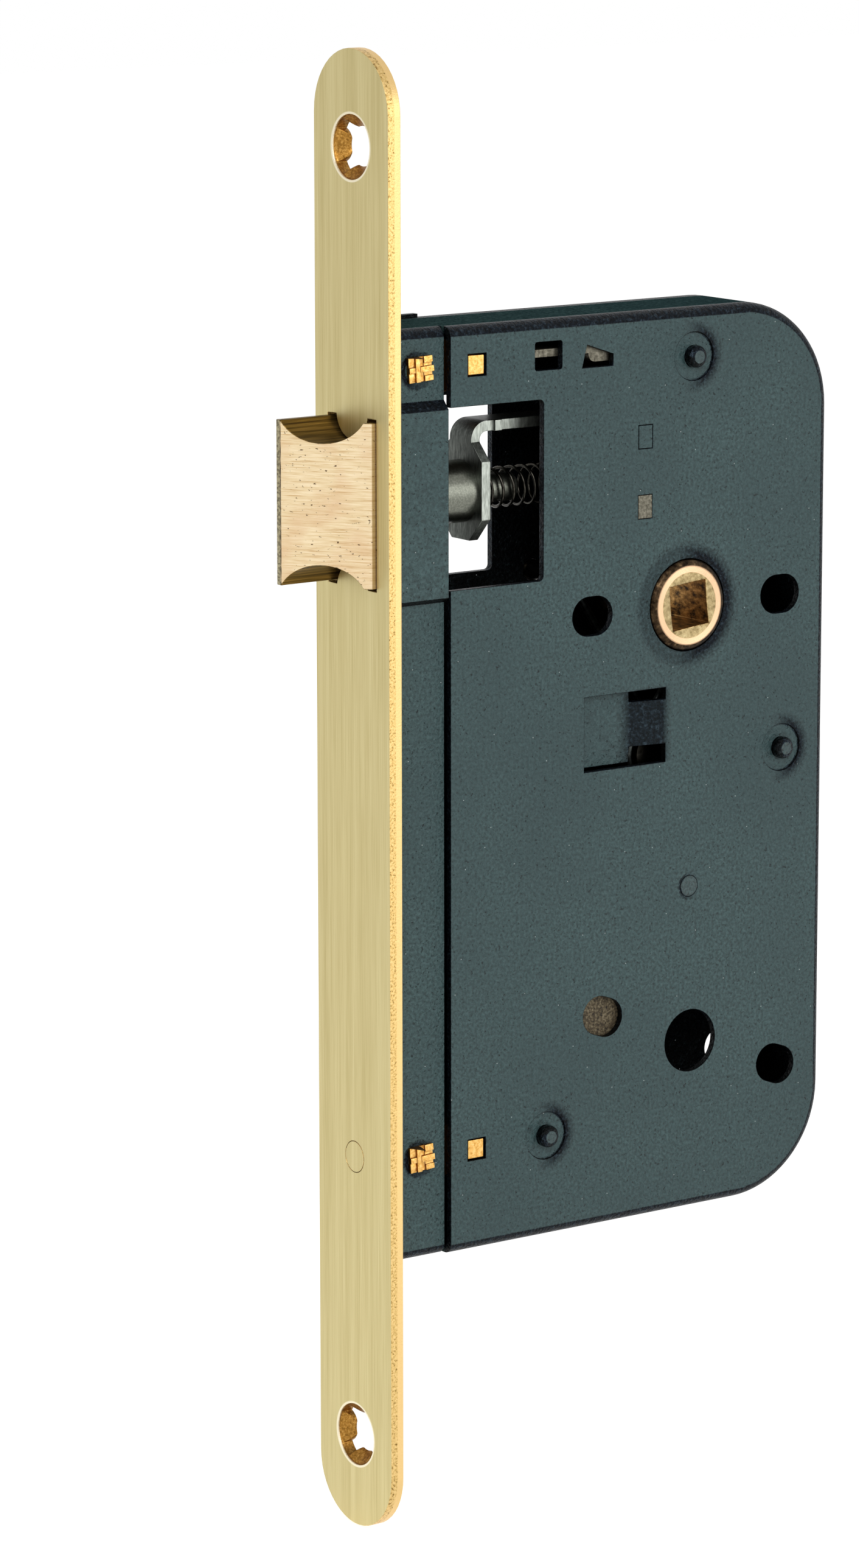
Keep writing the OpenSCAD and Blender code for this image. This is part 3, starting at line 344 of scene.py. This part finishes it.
def rubbed_brass():
    """Cast brass latch head: its bevel is ground across and rubbed pale, with dark casting pits; the turn into the
    flank is painted browner as painted shade, and the grooves above and below are dark drawn bronze."""
    material, tree, shader = new_material("rubbed_brass")
    # Level scratches some 0.15 mm wide and 5 mm long
    scratches = add_node(tree, "ShaderNodeTexNoise", {
        "Vector": object_place(tree, (200, 200, 4500)), "Scale": 1.0, "Detail": 3.0, "Roughness": 0.65})
    ground = add_node(tree, "ShaderNodeValToRGB", {"Fac": scratches},
                      [(0.3, "#C3A377"), (0.45, "#DBC49B"), (0.65, "#E8D5B2")])
    # Clouds of about 6 mm
    clouds = add_node(tree, "ShaderNodeTexNoise", {
        "Vector": object_place(tree, (160, 160, 160)), "Scale": 1.0, "Detail": 2.0})
    warm = add_node(tree, "ShaderNodeMapRange", {"Value": clouds, "From Min": 0.45, "From Max": 0.7, "To Max": 0.45})
    ground = add_node(tree, "ShaderNodeMix", {"Factor": warm, "A": ground, "B": "#CFA881"}, data_type="RGBA")
    # Slanting pits 0.2 mm wide and 0.6 mm long
    holes = add_node(tree, "ShaderNodeTexNoise", {
        "Vector": object_place(tree, (1500, 1500, 2600), (0.6, 0.5, 0)), "Scale": 1.0, "Detail": 2.0})
    pits = add_node(tree, "ShaderNodeMapRange", {"Value": holes, "From Min": 0.66, "From Max": 0.73})
    ground = add_node(tree, "ShaderNodeMix", {"Factor": pits, "A": ground, "B": "#4E3722"}, data_type="RGBA")
    normal = add_node(tree, "ShaderNodeNewGeometry").node.outputs["Normal"]
    split = add_node(tree, "ShaderNodeSeparateXYZ", {"Vector": normal}).node
    flank = add_node(tree, "ShaderNodeMath", {0: split.outputs["Y"]}, operation="ABSOLUTE")
    # Painted shade: the turn into the flank is browner by its normal
    turned = add_node(tree, "ShaderNodeMapRange", {"Value": flank, "From Min": 0.66, "From Max": 0.95, "To Max": 0.4})
    ground = add_node(tree, "ShaderNodeMix", {"Factor": turned, "A": ground, "B": "#8A6A42"}, data_type="RGBA")
    # Draw lines along the grooves, 0.2 mm apart
    lines = add_node(tree, "ShaderNodeTexNoise", {
        "Vector": object_place(tree, (60, 2500, 2500)), "Scale": 1.0, "Detail": 3.0, "Roughness": 0.6})
    drawn = add_node(tree, "ShaderNodeValToRGB", {"Fac": lines},
                     [(0.3, "#33250F"), (0.5, "#5E4A22"), (0.72, "#9A7C45")])
    upright = add_node(tree, "ShaderNodeMath", {0: split.outputs["Z"]}, operation="ABSOLUTE")
    groove = add_node(tree, "ShaderNodeMapRange", {"Value": upright, "From Min": 0.10, "From Max": 0.2})
    colour = add_node(tree, "ShaderNodeMix", {"Factor": groove, "A": ground, "B": drawn}, data_type="RGBA")
    forward = add_node(tree, "ShaderNodeMath", {0: split.outputs["X"], 1: -1.0}, operation="MULTIPLY")
    nose = add_node(tree, "ShaderNodeMapRange", {"Value": forward, "From Min": 0.95, "From Max": 0.98})
    cast = add_node(tree, "ShaderNodeValToRGB", {"Fac": holes}, [(0.4, "#6E664E"), (0.6, "#A89E7E")])
    colour = add_node(tree, "ShaderNodeMix", {"Factor": nose, "A": colour, "B": cast}, data_type="RGBA")
    relief = add_node(tree, "ShaderNodeBump", {"Height": scratches, "Distance": 0.03 * MM, "Strength": 0.5})
    tree.links.new(colour, shader.inputs["Base Color"])
    tree.links.new(relief, shader.inputs["Normal"])
    shader.inputs["Metallic"].default_value = 0.9
    shader.inputs["Roughness"].default_value = 0.42
    return material


def turned_bronze():
    """Sintered bronze follower: the end ring is turned bright and its dish is turned with fine rings, coloured darker
    than the ring as painted shade for its depth, while the shoulder's round and the walls of the square keep a dark
    brown porous skin."""
    material, tree, shader = new_material("turned_bronze")
    flat = object_place(tree, (1, 0, 1), move=(-FOLLOWER_X * MM, 0, -FOLLOWER_Z * MM))
    radius = add_node(tree, "ShaderNodeVectorMath", {0: flat}, operation="LENGTH").node.outputs["Value"]
    # Pores of about 0.6 mm
    pores = add_node(tree, "ShaderNodeTexNoise", {
        "Vector": object_place(tree, (1200, 600, 1200)), "Scale": 1.0, "Detail": 4.0, "Roughness": 0.65})
    skin = add_node(tree, "ShaderNodeValToRGB", {"Fac": pores},
                    [(0.35, "#2E2010"), (0.5, "#94703C"), (0.65, "#D0A566")])
    shoulder = add_node(tree, "ShaderNodeValToRGB", {"Fac": pores},
                        [(0.35, "#19120C"), (0.55, "#3D3022"), (0.75, "#6E5A40")])
    # The dish's olive gold is darker than the ring: painted shade for its depth
    turned = add_node(tree, "ShaderNodeValToRGB", {"Fac": pores},
                      [(0.35, "#81704C"), (0.55, "#AA976E"), (0.75, "#C4B389")])
    normal = add_node(tree, "ShaderNodeNewGeometry").node.outputs["Normal"]
    along = add_node(tree, "ShaderNodeSeparateXYZ", {"Vector": normal}).node.outputs["Y"]
    facing = add_node(tree, "ShaderNodeMath", {0: along}, operation="ABSOLUTE")
    end_face = add_node(tree, "ShaderNodeMapRange", {"Value": facing, "From Min": 0.85, "From Max": 0.97})
    in_ring = add_node(tree, "ShaderNodeMapRange", {"Value": radius, "From Min": 5.3 * MM, "From Max": 5.4 * MM})
    past_ring = add_node(tree, "ShaderNodeMapRange", {"Value": radius, "From Min": 6.2 * MM, "From Max": 6.5 * MM})
    end = add_node(tree, "ShaderNodeMix", {"Factor": in_ring, "A": turned, "B": "#E3BC96"}, data_type="RGBA")
    colour = add_node(tree, "ShaderNodeMix", {"Factor": end_face, "A": skin, "B": end}, data_type="RGBA")
    colour = add_node(tree, "ShaderNodeMix", {"Factor": past_ring, "A": colour, "B": shoulder}, data_type="RGBA")
    # Tool marks, a ring every 0.2 mm
    phase = add_node(tree, "ShaderNodeMath", {0: radius, 1: 2 * math.pi / (0.2 * MM)}, operation="MULTIPLY")
    rings = add_node(tree, "ShaderNodeMath", {0: phase}, operation="SINE")
    marks = add_node(tree, "ShaderNodeMath", {0: rings, 1: end_face}, operation="MULTIPLY")
    height = add_node(tree, "ShaderNodeMath", {0: marks, 1: 0.25, 2: pores}, operation="MULTIPLY_ADD")
    relief = add_node(tree, "ShaderNodeBump", {"Height": height, "Distance": 0.08 * MM, "Strength": 0.6})
    tree.links.new(colour, shader.inputs["Base Color"])
    tree.links.new(relief, shader.inputs["Normal"])
    shader.inputs["Metallic"].default_value = 1.0
    shader.inputs["Roughness"].default_value = 0.38
    return material


def bare_steel(name, tones, roughness, grain_mm, stretch=(1, 1, 1)):
    """Bare steel: satin grey with fine pits, darker or paler by how it was rolled, drawn or sheared."""
    material, tree, shader = new_material(name)
    scale = [1000 * s / grain_mm for s in stretch]
    scale_marks = add_node(tree, "ShaderNodeTexNoise", {
        "Vector": object_place(tree, scale), "Scale": 1.0, "Detail": 4.0, "Roughness": 0.6})
    tone = add_node(tree, "ShaderNodeValToRGB", {"Fac": scale_marks}, list(zip((0.3, 0.5, 0.7), tones)))
    relief = add_node(tree, "ShaderNodeBump", {"Height": scale_marks, "Distance": 0.04 * MM, "Strength": 0.4})
    tree.links.new(tone, shader.inputs["Base Color"])
    tree.links.new(relief, shader.inputs["Normal"])
    shader.inputs["Metallic"].default_value = 1.0
    shader.inputs["Roughness"].default_value = roughness
    return material


def strip_steel():
    """Cold-rolled strip blanked by a press: dull grey-green faces and paler sheared edges with
    lines across the strip."""
    material, tree, shader = new_material("strip_steel")
    # Rolling marks of about 0.4 mm
    rolled = add_node(tree, "ShaderNodeTexNoise", {
        "Vector": object_place(tree, (2500, 2500, 600)), "Scale": 1.0, "Detail": 4.0, "Roughness": 0.6})
    face = add_node(tree, "ShaderNodeValToRGB", {"Fac": rolled},
                    [(0.3, "#383C39"), (0.5, "#535753"), (0.7, "#6E736E")])
    sheared = add_node(tree, "ShaderNodeValToRGB", {"Fac": rolled},
                       [(0.3, "#757972"), (0.5, "#929790"), (0.7, "#AEB3AB")])
    normal = add_node(tree, "ShaderNodeNewGeometry").node.outputs["Normal"]
    along = add_node(tree, "ShaderNodeSeparateXYZ", {"Vector": normal}).node.outputs["Y"]
    edge = add_node(tree, "ShaderNodeMapRange", {
        "Value": along, "From Min": -0.6, "From Max": -0.9})
    colour = add_node(tree, "ShaderNodeMix", {"Factor": edge, "A": face, "B": sheared}, data_type="RGBA")
    relief = add_node(tree, "ShaderNodeBump", {"Height": rolled, "Distance": 0.05 * MM, "Strength": 0.5})
    tree.links.new(colour, shader.inputs["Base Color"])
    tree.links.new(relief, shader.inputs["Normal"])
    shader.inputs["Metallic"].default_value = 1.0
    shader.inputs["Roughness"].default_value = 0.4
    return material


def punched_brass():
    """Brass stud end upset by a cross punch: bright pale gold on the raised bars, orange-brown in
    the folds beside them."""
    material, tree, shader = new_material("punched_brass")
    # Folds of about 0.5 mm
    folds = add_node(tree, "ShaderNodeTexNoise", {
        "Vector": object_place(tree, (1800, 1800, 1800)), "Scale": 1.0, "Detail": 4.0, "Roughness": 0.7})
    bright = add_node(tree, "ShaderNodeValToRGB", {"Fac": folds},
                      [(0.3, "#A8762F"), (0.5, "#D9A95E"), (0.7, "#E9C381")])
    normal = add_node(tree, "ShaderNodeNewGeometry").node.outputs["Normal"]
    along = add_node(tree, "ShaderNodeSeparateXYZ", {"Vector": normal}).node.outputs["Y"]
    facing = add_node(tree, "ShaderNodeMath", {0: along}, operation="ABSOLUTE")
    level = add_node(tree, "ShaderNodeMapRange", {"Value": facing, "From Min": 0.5, "From Max": 0.9})
    place = add_node(tree, "ShaderNodeTexCoord").node.outputs["Object"]
    side = add_node(tree, "ShaderNodeSeparateXYZ", {"Vector": place}).node.outputs["Y"]
    depth = add_node(tree, "ShaderNodeMath", {0: side}, operation="ABSOLUTE")
    raised = add_node(tree, "ShaderNodeMapRange", {"Value": depth, "From Min": 6.7 * MM, "From Max": 6.9 * MM})
    worked = add_node(tree, "ShaderNodeMath", {0: level, 1: raised}, operation="MULTIPLY")
    length = add_node(tree, "ShaderNodeSeparateXYZ", {"Vector": place})
    tenon = add_node(tree, "ShaderNodeMapRange", {"Value": length, "From Min": 4 * MM, "From Max": 3 * MM})
    clean = add_node(tree, "ShaderNodeMath", {0: worked, 1: tenon}, operation="MAXIMUM")
    colour = add_node(tree, "ShaderNodeMix", {"Factor": clean, "A": "#9A6320", "B": bright}, data_type="RGBA")
    relief = add_node(tree, "ShaderNodeBump", {"Height": folds, "Distance": 0.10 * MM, "Strength": 0.5})
    tree.links.new(colour, shader.inputs["Base Color"])
    tree.links.new(relief, shader.inputs["Normal"])
    shader.inputs["Metallic"].default_value = 1.0
    shader.inputs["Roughness"].default_value = 0.35
    return material


def sintered_plug():
    """Sintered iron plug, broken off rough: mottled brown and grey with open pores."""
    material, tree, shader = new_material("sintered_plug")
    # Grains of about 0.4 mm
    grains = add_node(tree, "ShaderNodeTexNoise", {
        "Vector": object_place(tree, (2600, 2600, 2600)), "Scale": 1.0, "Detail": 4.0, "Roughness": 0.7})
    tone = add_node(tree, "ShaderNodeValToRGB", {"Fac": grains},
                    [(0.35, "#15110B"), (0.5, "#4C412E"), (0.68, "#80765F")])
    relief = add_node(tree, "ShaderNodeBump", {"Height": grains, "Distance": 0.2 * MM, "Strength": 0.7})
    tree.links.new(tone, shader.inputs["Base Color"])
    tree.links.new(relief, shader.inputs["Normal"])
    shader.inputs["Metallic"].default_value = 0.5
    shader.inputs["Roughness"].default_value = 0.6
    return material


# Modelling

def take(piece):
    """Makes a piece the only one selected, and active."""
    bpy.ops.object.select_all(action="DESELECT")
    piece.select_set(True)
    bpy.context.view_layer.objects.active = piece


def select_faces(piece, test):
    """Selects, in edit mode, the faces whose middle in millimetres and normal pass the test."""
    bpy.ops.mesh.select_all(action="DESELECT")
    bpy.ops.mesh.select_mode(type="FACE")
    mesh = bmesh.from_edit_mesh(piece.data)
    for face in mesh.faces:
        face.select_set(test(face.calc_center_median() / MM, face.normal))
    bmesh.update_edit_mesh(piece.data)


def apply_modifier(piece, kind, **settings):
    """Adds a modifier to the active piece with its settings, and applies it."""
    bpy.ops.object.modifier_add(type=kind)
    modifier = piece.modifiers[-1]
    for key, value in settings.items():
        setattr(modifier, key, value)
    bpy.ops.object.modifier_apply(modifier=modifier.name)


def finish_piece(piece, name, body, finish, *nodes):
    """Names a piece, gives it its finish and lets it ride on its body in place of its nodes."""
    piece.name = name
    piece.data.materials.clear()
    piece.data.materials.append(finish)
    if body:
        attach(piece, body)
    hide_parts(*nodes)
    bpy.ops.object.select_all(action="DESELECT")


def second_finish(piece, finish, test):
    """Gives the faces that pass the test a finish of their own."""
    piece.data.materials.append(finish)
    take(piece)
    bpy.ops.object.mode_set(mode="EDIT")
    select_faces(piece, test)
    piece.active_material_index = 1
    bpy.ops.object.material_slot_assign()
    bpy.ops.object.mode_set(mode="OBJECT")
    bpy.ops.object.select_all(action="DESELECT")


def copy_of_node(node_name):
    """A solid's mesh on an object of its own, merged, with its flat faces made whole."""
    piece = bpy.data.objects.new(node_name + "_copy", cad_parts[node_name].data.copy())
    bpy.context.scene.collection.objects.link(piece)
    take(piece)
    bpy.ops.mesh.customdata_custom_splitnormals_clear()
    bpy.ops.object.mode_set(mode="EDIT")
    bpy.ops.mesh.select_all(action="SELECT")
    bpy.ops.mesh.remove_doubles(threshold=0.001 * MM)
    bpy.ops.mesh.dissolve_limited(angle_limit=math.radians(0.2))
    bpy.ops.object.mode_set(mode="OBJECT")
    return piece


def soften(piece, width, segments=2, angle=28):
    """Breaks a piece's sharp edges by a small round, and smooths what is left below the angle."""
    apply_modifier(piece, "BEVEL", width=width * MM, segments=segments, limit_method="ANGLE",
                   angle_limit=math.radians(angle), use_clamp_overlap=False)
    bpy.ops.object.shade_smooth_by_angle(angle=math.radians(40))
    apply_modifier(piece, "WEIGHTED_NORMAL", weight=100, keep_sharp=True)


def staked_head(x, z, width, height):
    """The near end of a front stud: a pad split by grooves, with the punch's cross standing on it."""
    bpy.ops.mesh.primitive_cube_add(size=MM, location=(x * MM, -(CHEEK_Y + 0.2) * MM, z * MM),
                                    scale=(width, 0.5, height))
    head = bpy.context.active_object
    bpy.ops.object.transform_apply(location=True, scale=True)
    bpy.ops.object.mode_set(mode="EDIT")
    for cut in (-0.24, -0.05, 0.14):
        bpy.ops.mesh.select_all(action="SELECT")
        bpy.ops.mesh.bisect(plane_co=((x + cut * width) * MM, 0, 0), plane_no=(1, 0, 0))
    for cut in (-0.27, -0.12, 0.11, 0.24):
        bpy.ops.mesh.select_all(action="SELECT")
        bpy.ops.mesh.bisect(plane_co=(0, 0, (z + cut * height) * MM), plane_no=(0, 0, 1))

    def cell(low_u, high_u, low_v, high_v):
        def test(middle, normal):
            u = (middle.x - x) / width
            v = (middle.z - z) / height
            return normal.y < -0.9 and low_u < u < high_u and low_v < v < high_v
        return test

    # Each cell's edges as shares of the head's width and height, and how far it is raised
    raised = (
        (-0.24, -0.05, -0.5, 0.5, 0.42), (-0.5, -0.24, -0.12, 0.11, 0.34), (-0.05, 0.5, -0.12, 0.11, 0.50),
        (0.14, 0.5, 0.24, 0.5, 0.22), (0.14, 0.5, -0.5, -0.27, 0.24), (-0.5, -0.24, 0.11, 0.5, 0.16),
        (-0.5, -0.24, -0.5, -0.12, 0.12), (-0.05, 0.14, 0.11, 0.5, -0.14), (-0.05, 0.14, -0.5, -0.12, -0.14),
    )
    for low_u, high_u, low_v, high_v, height_up in raised:
        select_faces(head, cell(low_u, high_u, low_v, high_v))
        bpy.ops.mesh.extrude_region_move(TRANSFORM_OT_translate={"value": (0, -height_up * MM, 0)})
    bpy.ops.mesh.select_all(action="SELECT")
    bpy.ops.transform.rotate(value=math.radians(STUD_TILT), orient_axis="Y",
                             center_override=(x * MM, 0, z * MM))
    bpy.ops.transform.vertex_random(offset=0.05 * MM, seed=7)
    bpy.ops.object.mode_set(mode="OBJECT")
    soften(head, 0.09)
    return head


def far_copy(piece):
    """A copy of a near head on the far cheek, turned right side out."""
    copy = bpy.data.objects.new(piece.name + "_far", piece.data.copy())
    bpy.context.scene.collection.objects.link(copy)
    take(copy)
    bpy.ops.object.mode_set(mode="EDIT")
    bpy.ops.mesh.select_all(action="SELECT")
    bpy.ops.transform.mirror(constraint_axis=(False, True, False), center_override=(0, 0, 0))
    bpy.ops.mesh.normals_make_consistent(inside=False)
    bpy.ops.object.mode_set(mode="OBJECT")
    return copy


def foot_body(node_name, x):
    """A foot without its two staked heads, its edges broken."""
    foot = copy_of_node(node_name)
    bpy.ops.object.mode_set(mode="EDIT")
    for side in (-1, 1):
        select_faces(foot, lambda middle, normal: abs(middle.x - x) < 2.5 and side * middle.y > CHEEK_Y - 3)
        bpy.ops.mesh.bisect(plane_co=(0, side * (CHEEK_Y - 0.1) * MM, 0), plane_no=(0, side, 0),
                            use_fill=True, clear_outer=True)
    bpy.ops.object.mode_set(mode="OBJECT")
    soften(foot, 0.12)
    return foot


def rivet_end(x, z, side):
    """A rivet's upset end on one plate, painted over: a short stub with a domed crown."""
    bpy.ops.mesh.primitive_cylinder_add(
        vertices=48, radius=RIVET_STUB_R * MM, depth=(RIVET_STUB_OUT + 0.4) * MM, rotation=(math.pi / 2, 0, 0),
        location=(x * MM, side * (PLATE_Y + RIVET_STUB_OUT / 2 - 0.2) * MM, z * MM))
    end = bpy.context.active_object
    bpy.ops.object.transform_apply(location=True, rotation=True)
    bpy.ops.object.mode_set(mode="EDIT")
    select_faces(end, lambda middle, normal: side * normal.y > 0.9)
    bpy.ops.mesh.inset(thickness=0.9 * MM)
    bpy.ops.transform.translate(value=(0, side * 0.15 * MM, 0))
    bpy.ops.object.mode_set(mode="OBJECT")
    soften(end, 0.7, 6, 20)
    return end


def rivet(node_name, x, z):
    """A rivet's body from its solid, joined by a domed end on each plate."""
    body = copy_of_node(node_name)
    soften(body, 0.05)
    ends = [rivet_end(x, z, side) for side in (-1, 1)]
    take(body)
    for end in ends:
        end.select_set(True)
    bpy.ops.object.join()
    return body


def follower_coil():
    """The coil of the follower's torsion spring, from its still end to its toe end."""
    angle = math.radians(STILL_ANGLE)
    bpy.ops.mesh.primitive_circle_add(
        vertices=14, radius=RETURN_WIRE / 2 * MM, rotation=(0, -angle, 0),
        location=(RETURN_RADIUS * math.cos(angle) * MM, STILL_Y * MM, RETURN_RADIUS * math.sin(angle) * MM))
    coil = bpy.context.active_object
    bpy.ops.object.transform_apply(location=True, rotation=True)
    apply_modifier(coil, "SCREW", axis="Y", angle=2 * math.pi * RETURN_TURNS,
                   screw_offset=(TOE_Y - STILL_Y) * MM, steps=110, render_steps=110)
    bpy.ops.object.mode_set(mode="EDIT")
    bpy.ops.mesh.select_all(action="SELECT")
    bpy.ops.transform.translate(value=(POST_X * MM, 0, POST_Z * MM))
    bpy.ops.mesh.select_all(action="DESELECT")
    bpy.ops.mesh.select_mode(type="EDGE")
    bpy.ops.mesh.select_non_manifold()
    bpy.ops.mesh.edge_face_add()
    bpy.ops.mesh.select_all(action="SELECT")
    bpy.ops.mesh.normals_make_consistent(inside=False)
    bpy.ops.object.mode_set(mode="OBJECT")
    bpy.ops.object.shade_smooth()
    return coil


def straight_leg(start, end):
    """A straight stretch of the follower spring's wire with a rounded tip, from start to end."""
    along = (Vector(end) - Vector(start)) * MM
    bpy.ops.mesh.primitive_cylinder_add(vertices=14, radius=RETURN_WIRE / 2 * MM, depth=along.length,
                                        location=(Vector(start) * MM + along / 2),
                                        rotation=along.to_track_quat("Z", "Y").to_euler())
    leg = bpy.context.active_object
    bpy.ops.object.transform_apply(location=True, rotation=True)
    bpy.ops.object.mode_set(mode="EDIT")
    for share in (0.2, 0.4, 0.6, 0.8):
        bpy.ops.mesh.select_all(action="SELECT")
        bpy.ops.mesh.bisect(plane_co=Vector(start) * MM + along * share, plane_no=along.normalized())
    bpy.ops.object.mode_set(mode="OBJECT")
    soften(leg, 0.25, 3, 60)
    return leg


def spring_turns(x, turns, pitch):
    """One stretch of the latch spring: a ring of wire swept round the latch axis."""
    bpy.ops.mesh.primitive_circle_add(vertices=12, radius=SPRING_WIRE / 2 * MM,
                                      location=(x * MM, 0, (LATCH_Z + SPRING_RADIUS) * MM))
    stretch = bpy.context.active_object
    bpy.ops.object.transform_apply(location=True)
    bpy.ops.object.mode_set(mode="EDIT")
    bpy.ops.mesh.select_all(action="SELECT")
    bpy.ops.transform.rotate(value=math.radians(90), orient_axis="X",
                             center_override=(x * MM, 0, (LATCH_Z + SPRING_RADIUS) * MM))
    bpy.ops.transform.translate(value=(0, 0, -LATCH_Z * MM))
    bpy.ops.object.mode_set(mode="OBJECT")
    apply_modifier(stretch, "SCREW", axis="X", angle=2 * math.pi, screw_offset=pitch * MM,
                   iterations=turns, steps=32, render_steps=32)
    return stretch


def latch_spring():
    """The latch's coil spring: dead turns at the carriage, open turns and one dead turn at the wall."""
    start = CARRIAGE_BACK_X + SPRING_WIRE / 2
    end = WALL_X - SPRING_WIRE / 2
    dead_pitch = SPRING_WIRE + 0.02
    open_pitch = (end - start - 4 * dead_pitch) / 12
    stretches = [
        spring_turns(start, 3, dead_pitch),
        spring_turns(start + 3 * dead_pitch, 12, open_pitch),
        spring_turns(end - dead_pitch, 1, dead_pitch),
    ]
    take(stretches[0])
    for stretch in stretches:
        stretch.select_set(True)
    bpy.ops.object.join()
    spring = bpy.context.active_object
    bpy.ops.object.mode_set(mode="EDIT")
    bpy.ops.mesh.select_all(action="SELECT")
    bpy.ops.transform.translate(value=(0, 0, LATCH_Z * MM))
    bpy.ops.mesh.remove_doubles(threshold=0.02 * MM)
    bpy.ops.mesh.select_all(action="DESELECT")
    bpy.ops.mesh.select_mode(type="EDGE")
    bpy.ops.mesh.select_non_manifold()
    bpy.ops.mesh.edge_face_add()
    bpy.ops.mesh.select_all(action="SELECT")
    bpy.ops.mesh.normals_make_consistent(inside=False)
    bpy.ops.object.mode_set(mode="OBJECT")
    bpy.ops.object.shade_smooth()
    return spring


# Floor and background

def add_floor():
    """A pale floor that keeps the lock's shadow; what the camera and gloss see of it is white."""
    bpy.ops.mesh.primitive_plane_add(size=6, location=(0.04, 0, FLOOR_Z * MM))
    floor = bpy.context.active_object
    floor.name = "floor"
    bpy.ops.object.transform_apply(location=True)
    material = bpy.data.materials.new("pale_floor")
    material.use_nodes = True
    tree = material.node_tree
    tree.nodes.clear()
    matte = add_node(tree, "ShaderNodeBsdfDiffuse", {"Color": "#F7F7F5"})
    glow = add_node(tree, "ShaderNodeEmission", {"Color": "#FFFFFF", "Strength": 0.76})
    lit = add_node(tree, "ShaderNodeAddShader", {0: matte, 1: glow})
    add_node(tree, "ShaderNodeOutputMaterial", {
        "Surface": add_node(tree, "ShaderNodeMixShader", {0: seen_rays(tree), 1: matte, 2: lit})})
    floor.data.materials.append(material)
    bpy.ops.object.select_all(action="DESELECT")


def seen_rays(tree):
    """1 for what the camera, gloss or glass sees, 0 for what only lights the object."""
    path = add_node(tree, "ShaderNodeLightPath").node.outputs
    gloss = add_node(tree, "ShaderNodeMath", {0: path["Is Camera Ray"], 1: path["Is Glossy Ray"]},
                     operation="MAXIMUM")
    return add_node(tree, "ShaderNodeMath", {0: gloss, 1: path["Is Transmission Ray"]}, operation="MAXIMUM")


def set_world():
    """Soft even studio light in front of a white background."""
    world = bpy.data.worlds.new("studio")
    bpy.context.scene.world = world
    world.use_nodes = True
    tree = world.node_tree
    tree.nodes.clear()
    soft = add_node(tree, "ShaderNodeBackground", {"Color": "#FFFFFF", "Strength": 0.3})
    white = add_node(tree, "ShaderNodeBackground", {"Color": "#FFFFFF", "Strength": 1.0})
    add_node(tree, "ShaderNodeOutputWorld", {
        "Surface": add_node(tree, "ShaderNodeMixShader", {0: seen_rays(tree), 1: soft, 2: white})})


set_camera()
set_world()
add_floor()
add_lamp("key_lamp", (-0.55, -0.9, 0.75), 0.7, 8.0)
add_lamp("front_lamp", (0.7, -1.2, 0.3), 0.9, 4.5)

BRASS_PLATE = brushed_brass()
PAINT = stoved_paint("stoved_paint", 0.45)
WET_PAINT = stoved_paint("stoved_paint_run_thick", 0.12)
LATCH_BRASS = rubbed_brass()
BRONZE = turned_bronze()
STRIP_STEEL = strip_steel()
SATIN_STEEL = bare_steel("satin_steel", ("#5B5D55", "#6A6C63", "#7A7C72"), 0.3, 0.3, (1, 0.5, 1))
WALL_STEEL = bare_steel("blanked_steel", ("#3A3730", "#5F5C51", "#7C786C"), 0.45, 0.5)
SPRING_WIRE_AND_SHADE = bare_steel("spring_wire", ("#1B1A17", "#36342F", "#4C4942"), 0.25, 0.8)
COIL_STEEL = bare_steel("coil_steel", ("#2B2E2D", "#3F4342", "#555A58"), 0.35, 0.8)
STUD_BRASS = punched_brass()
PLUG_IRON = sintered_plug()

# Solids whose shape is right as it is
for node_name, finish in {
    # The spring post and peg sit in shade inside the case and take the dark spring wire as painted shade
    "case_cover": PAINT, "spacer_pin": WET_PAINT, "slot_plug": PLUG_IRON, "spring_post": SPRING_WIRE_AND_SHADE,
    "spring_peg": SPRING_WIRE_AND_SHADE, "latch_stem": SATIN_STEEL,
    "upper_strap": WALL_STEEL,
}.items():
    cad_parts[node_name].data.materials.clear()
    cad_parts[node_name].data.materials.append(finish)

# Solids whose edges are broken: the round's width in millimetres, the body and the finish
for node_name, width, body, finish in (
    ("forend", 0.15, "case", BRASS_PLATE),
    ("case_tray", 0.10, "case", PAINT),
    ("latch_head", 0.12, "latch", LATCH_BRASS),
    ("follower", 0.15, "follower", BRONZE),
    ("latch_carriage", 0.12, "latch", STRIP_STEEL),
):
    dressed = copy_of_node(node_name)
    soften(dressed, width)
    finish_piece(dressed, node_name + "_dressed", body, finish, node_name)

wall = copy_of_node("spring_wall")
soften(wall, 0.08)
finish_piece(wall, "spring_wall_dressed", "case", WALL_STEEL, "spring_wall")
second_finish(wall, PAINT, lambda middle, normal: middle.z > WALL_SPLIT_Z)

for node_name, (rivet_x, rivet_z) in RIVETS.items():
    finish_piece(rivet(node_name, rivet_x, rivet_z), node_name + "_dressed", "case", WET_PAINT, node_name)

for (stud_x, stud_z, stud_w, stud_h), level in zip(FRONT_STUDS, ("upper", "lower")):
    foot = foot_body("foot_" + level, stud_x)
    finish_piece(foot, level + "_foot", "case", STUD_BRASS, "foot_" + level)
    second_finish(foot, BRASS_PLATE, lambda middle, normal: middle.x < TENON_END_X)
    near_head = staked_head(stud_x, stud_z, stud_w, stud_h)
    finish_piece(near_head, level + "_stud_near", "case", STUD_BRASS, "foot_" + level)
    finish_piece(far_copy(near_head), level + "_stud_far", "case", STUD_BRASS, "foot_" + level)

spring = latch_spring()
finish_piece(spring, "latch_coil", "case", SPRING_WIRE_AND_SHADE, "latch_spring")
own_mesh(spring)

coil = follower_coil()
still_leg = straight_leg(*STILL_LEG)
take(coil)
still_leg.select_set(True)
bpy.ops.object.join()
finish_piece(coil, "return_coil", "case", COIL_STEEL, "follower_spring")
toe_leg = straight_leg(*TOE_LEG)
finish_piece(toe_leg, "return_toe_leg", "", COIL_STEEL, "follower_spring")
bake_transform(toe_leg)

bpy.context.scene.view_settings.view_transform = "Standard"
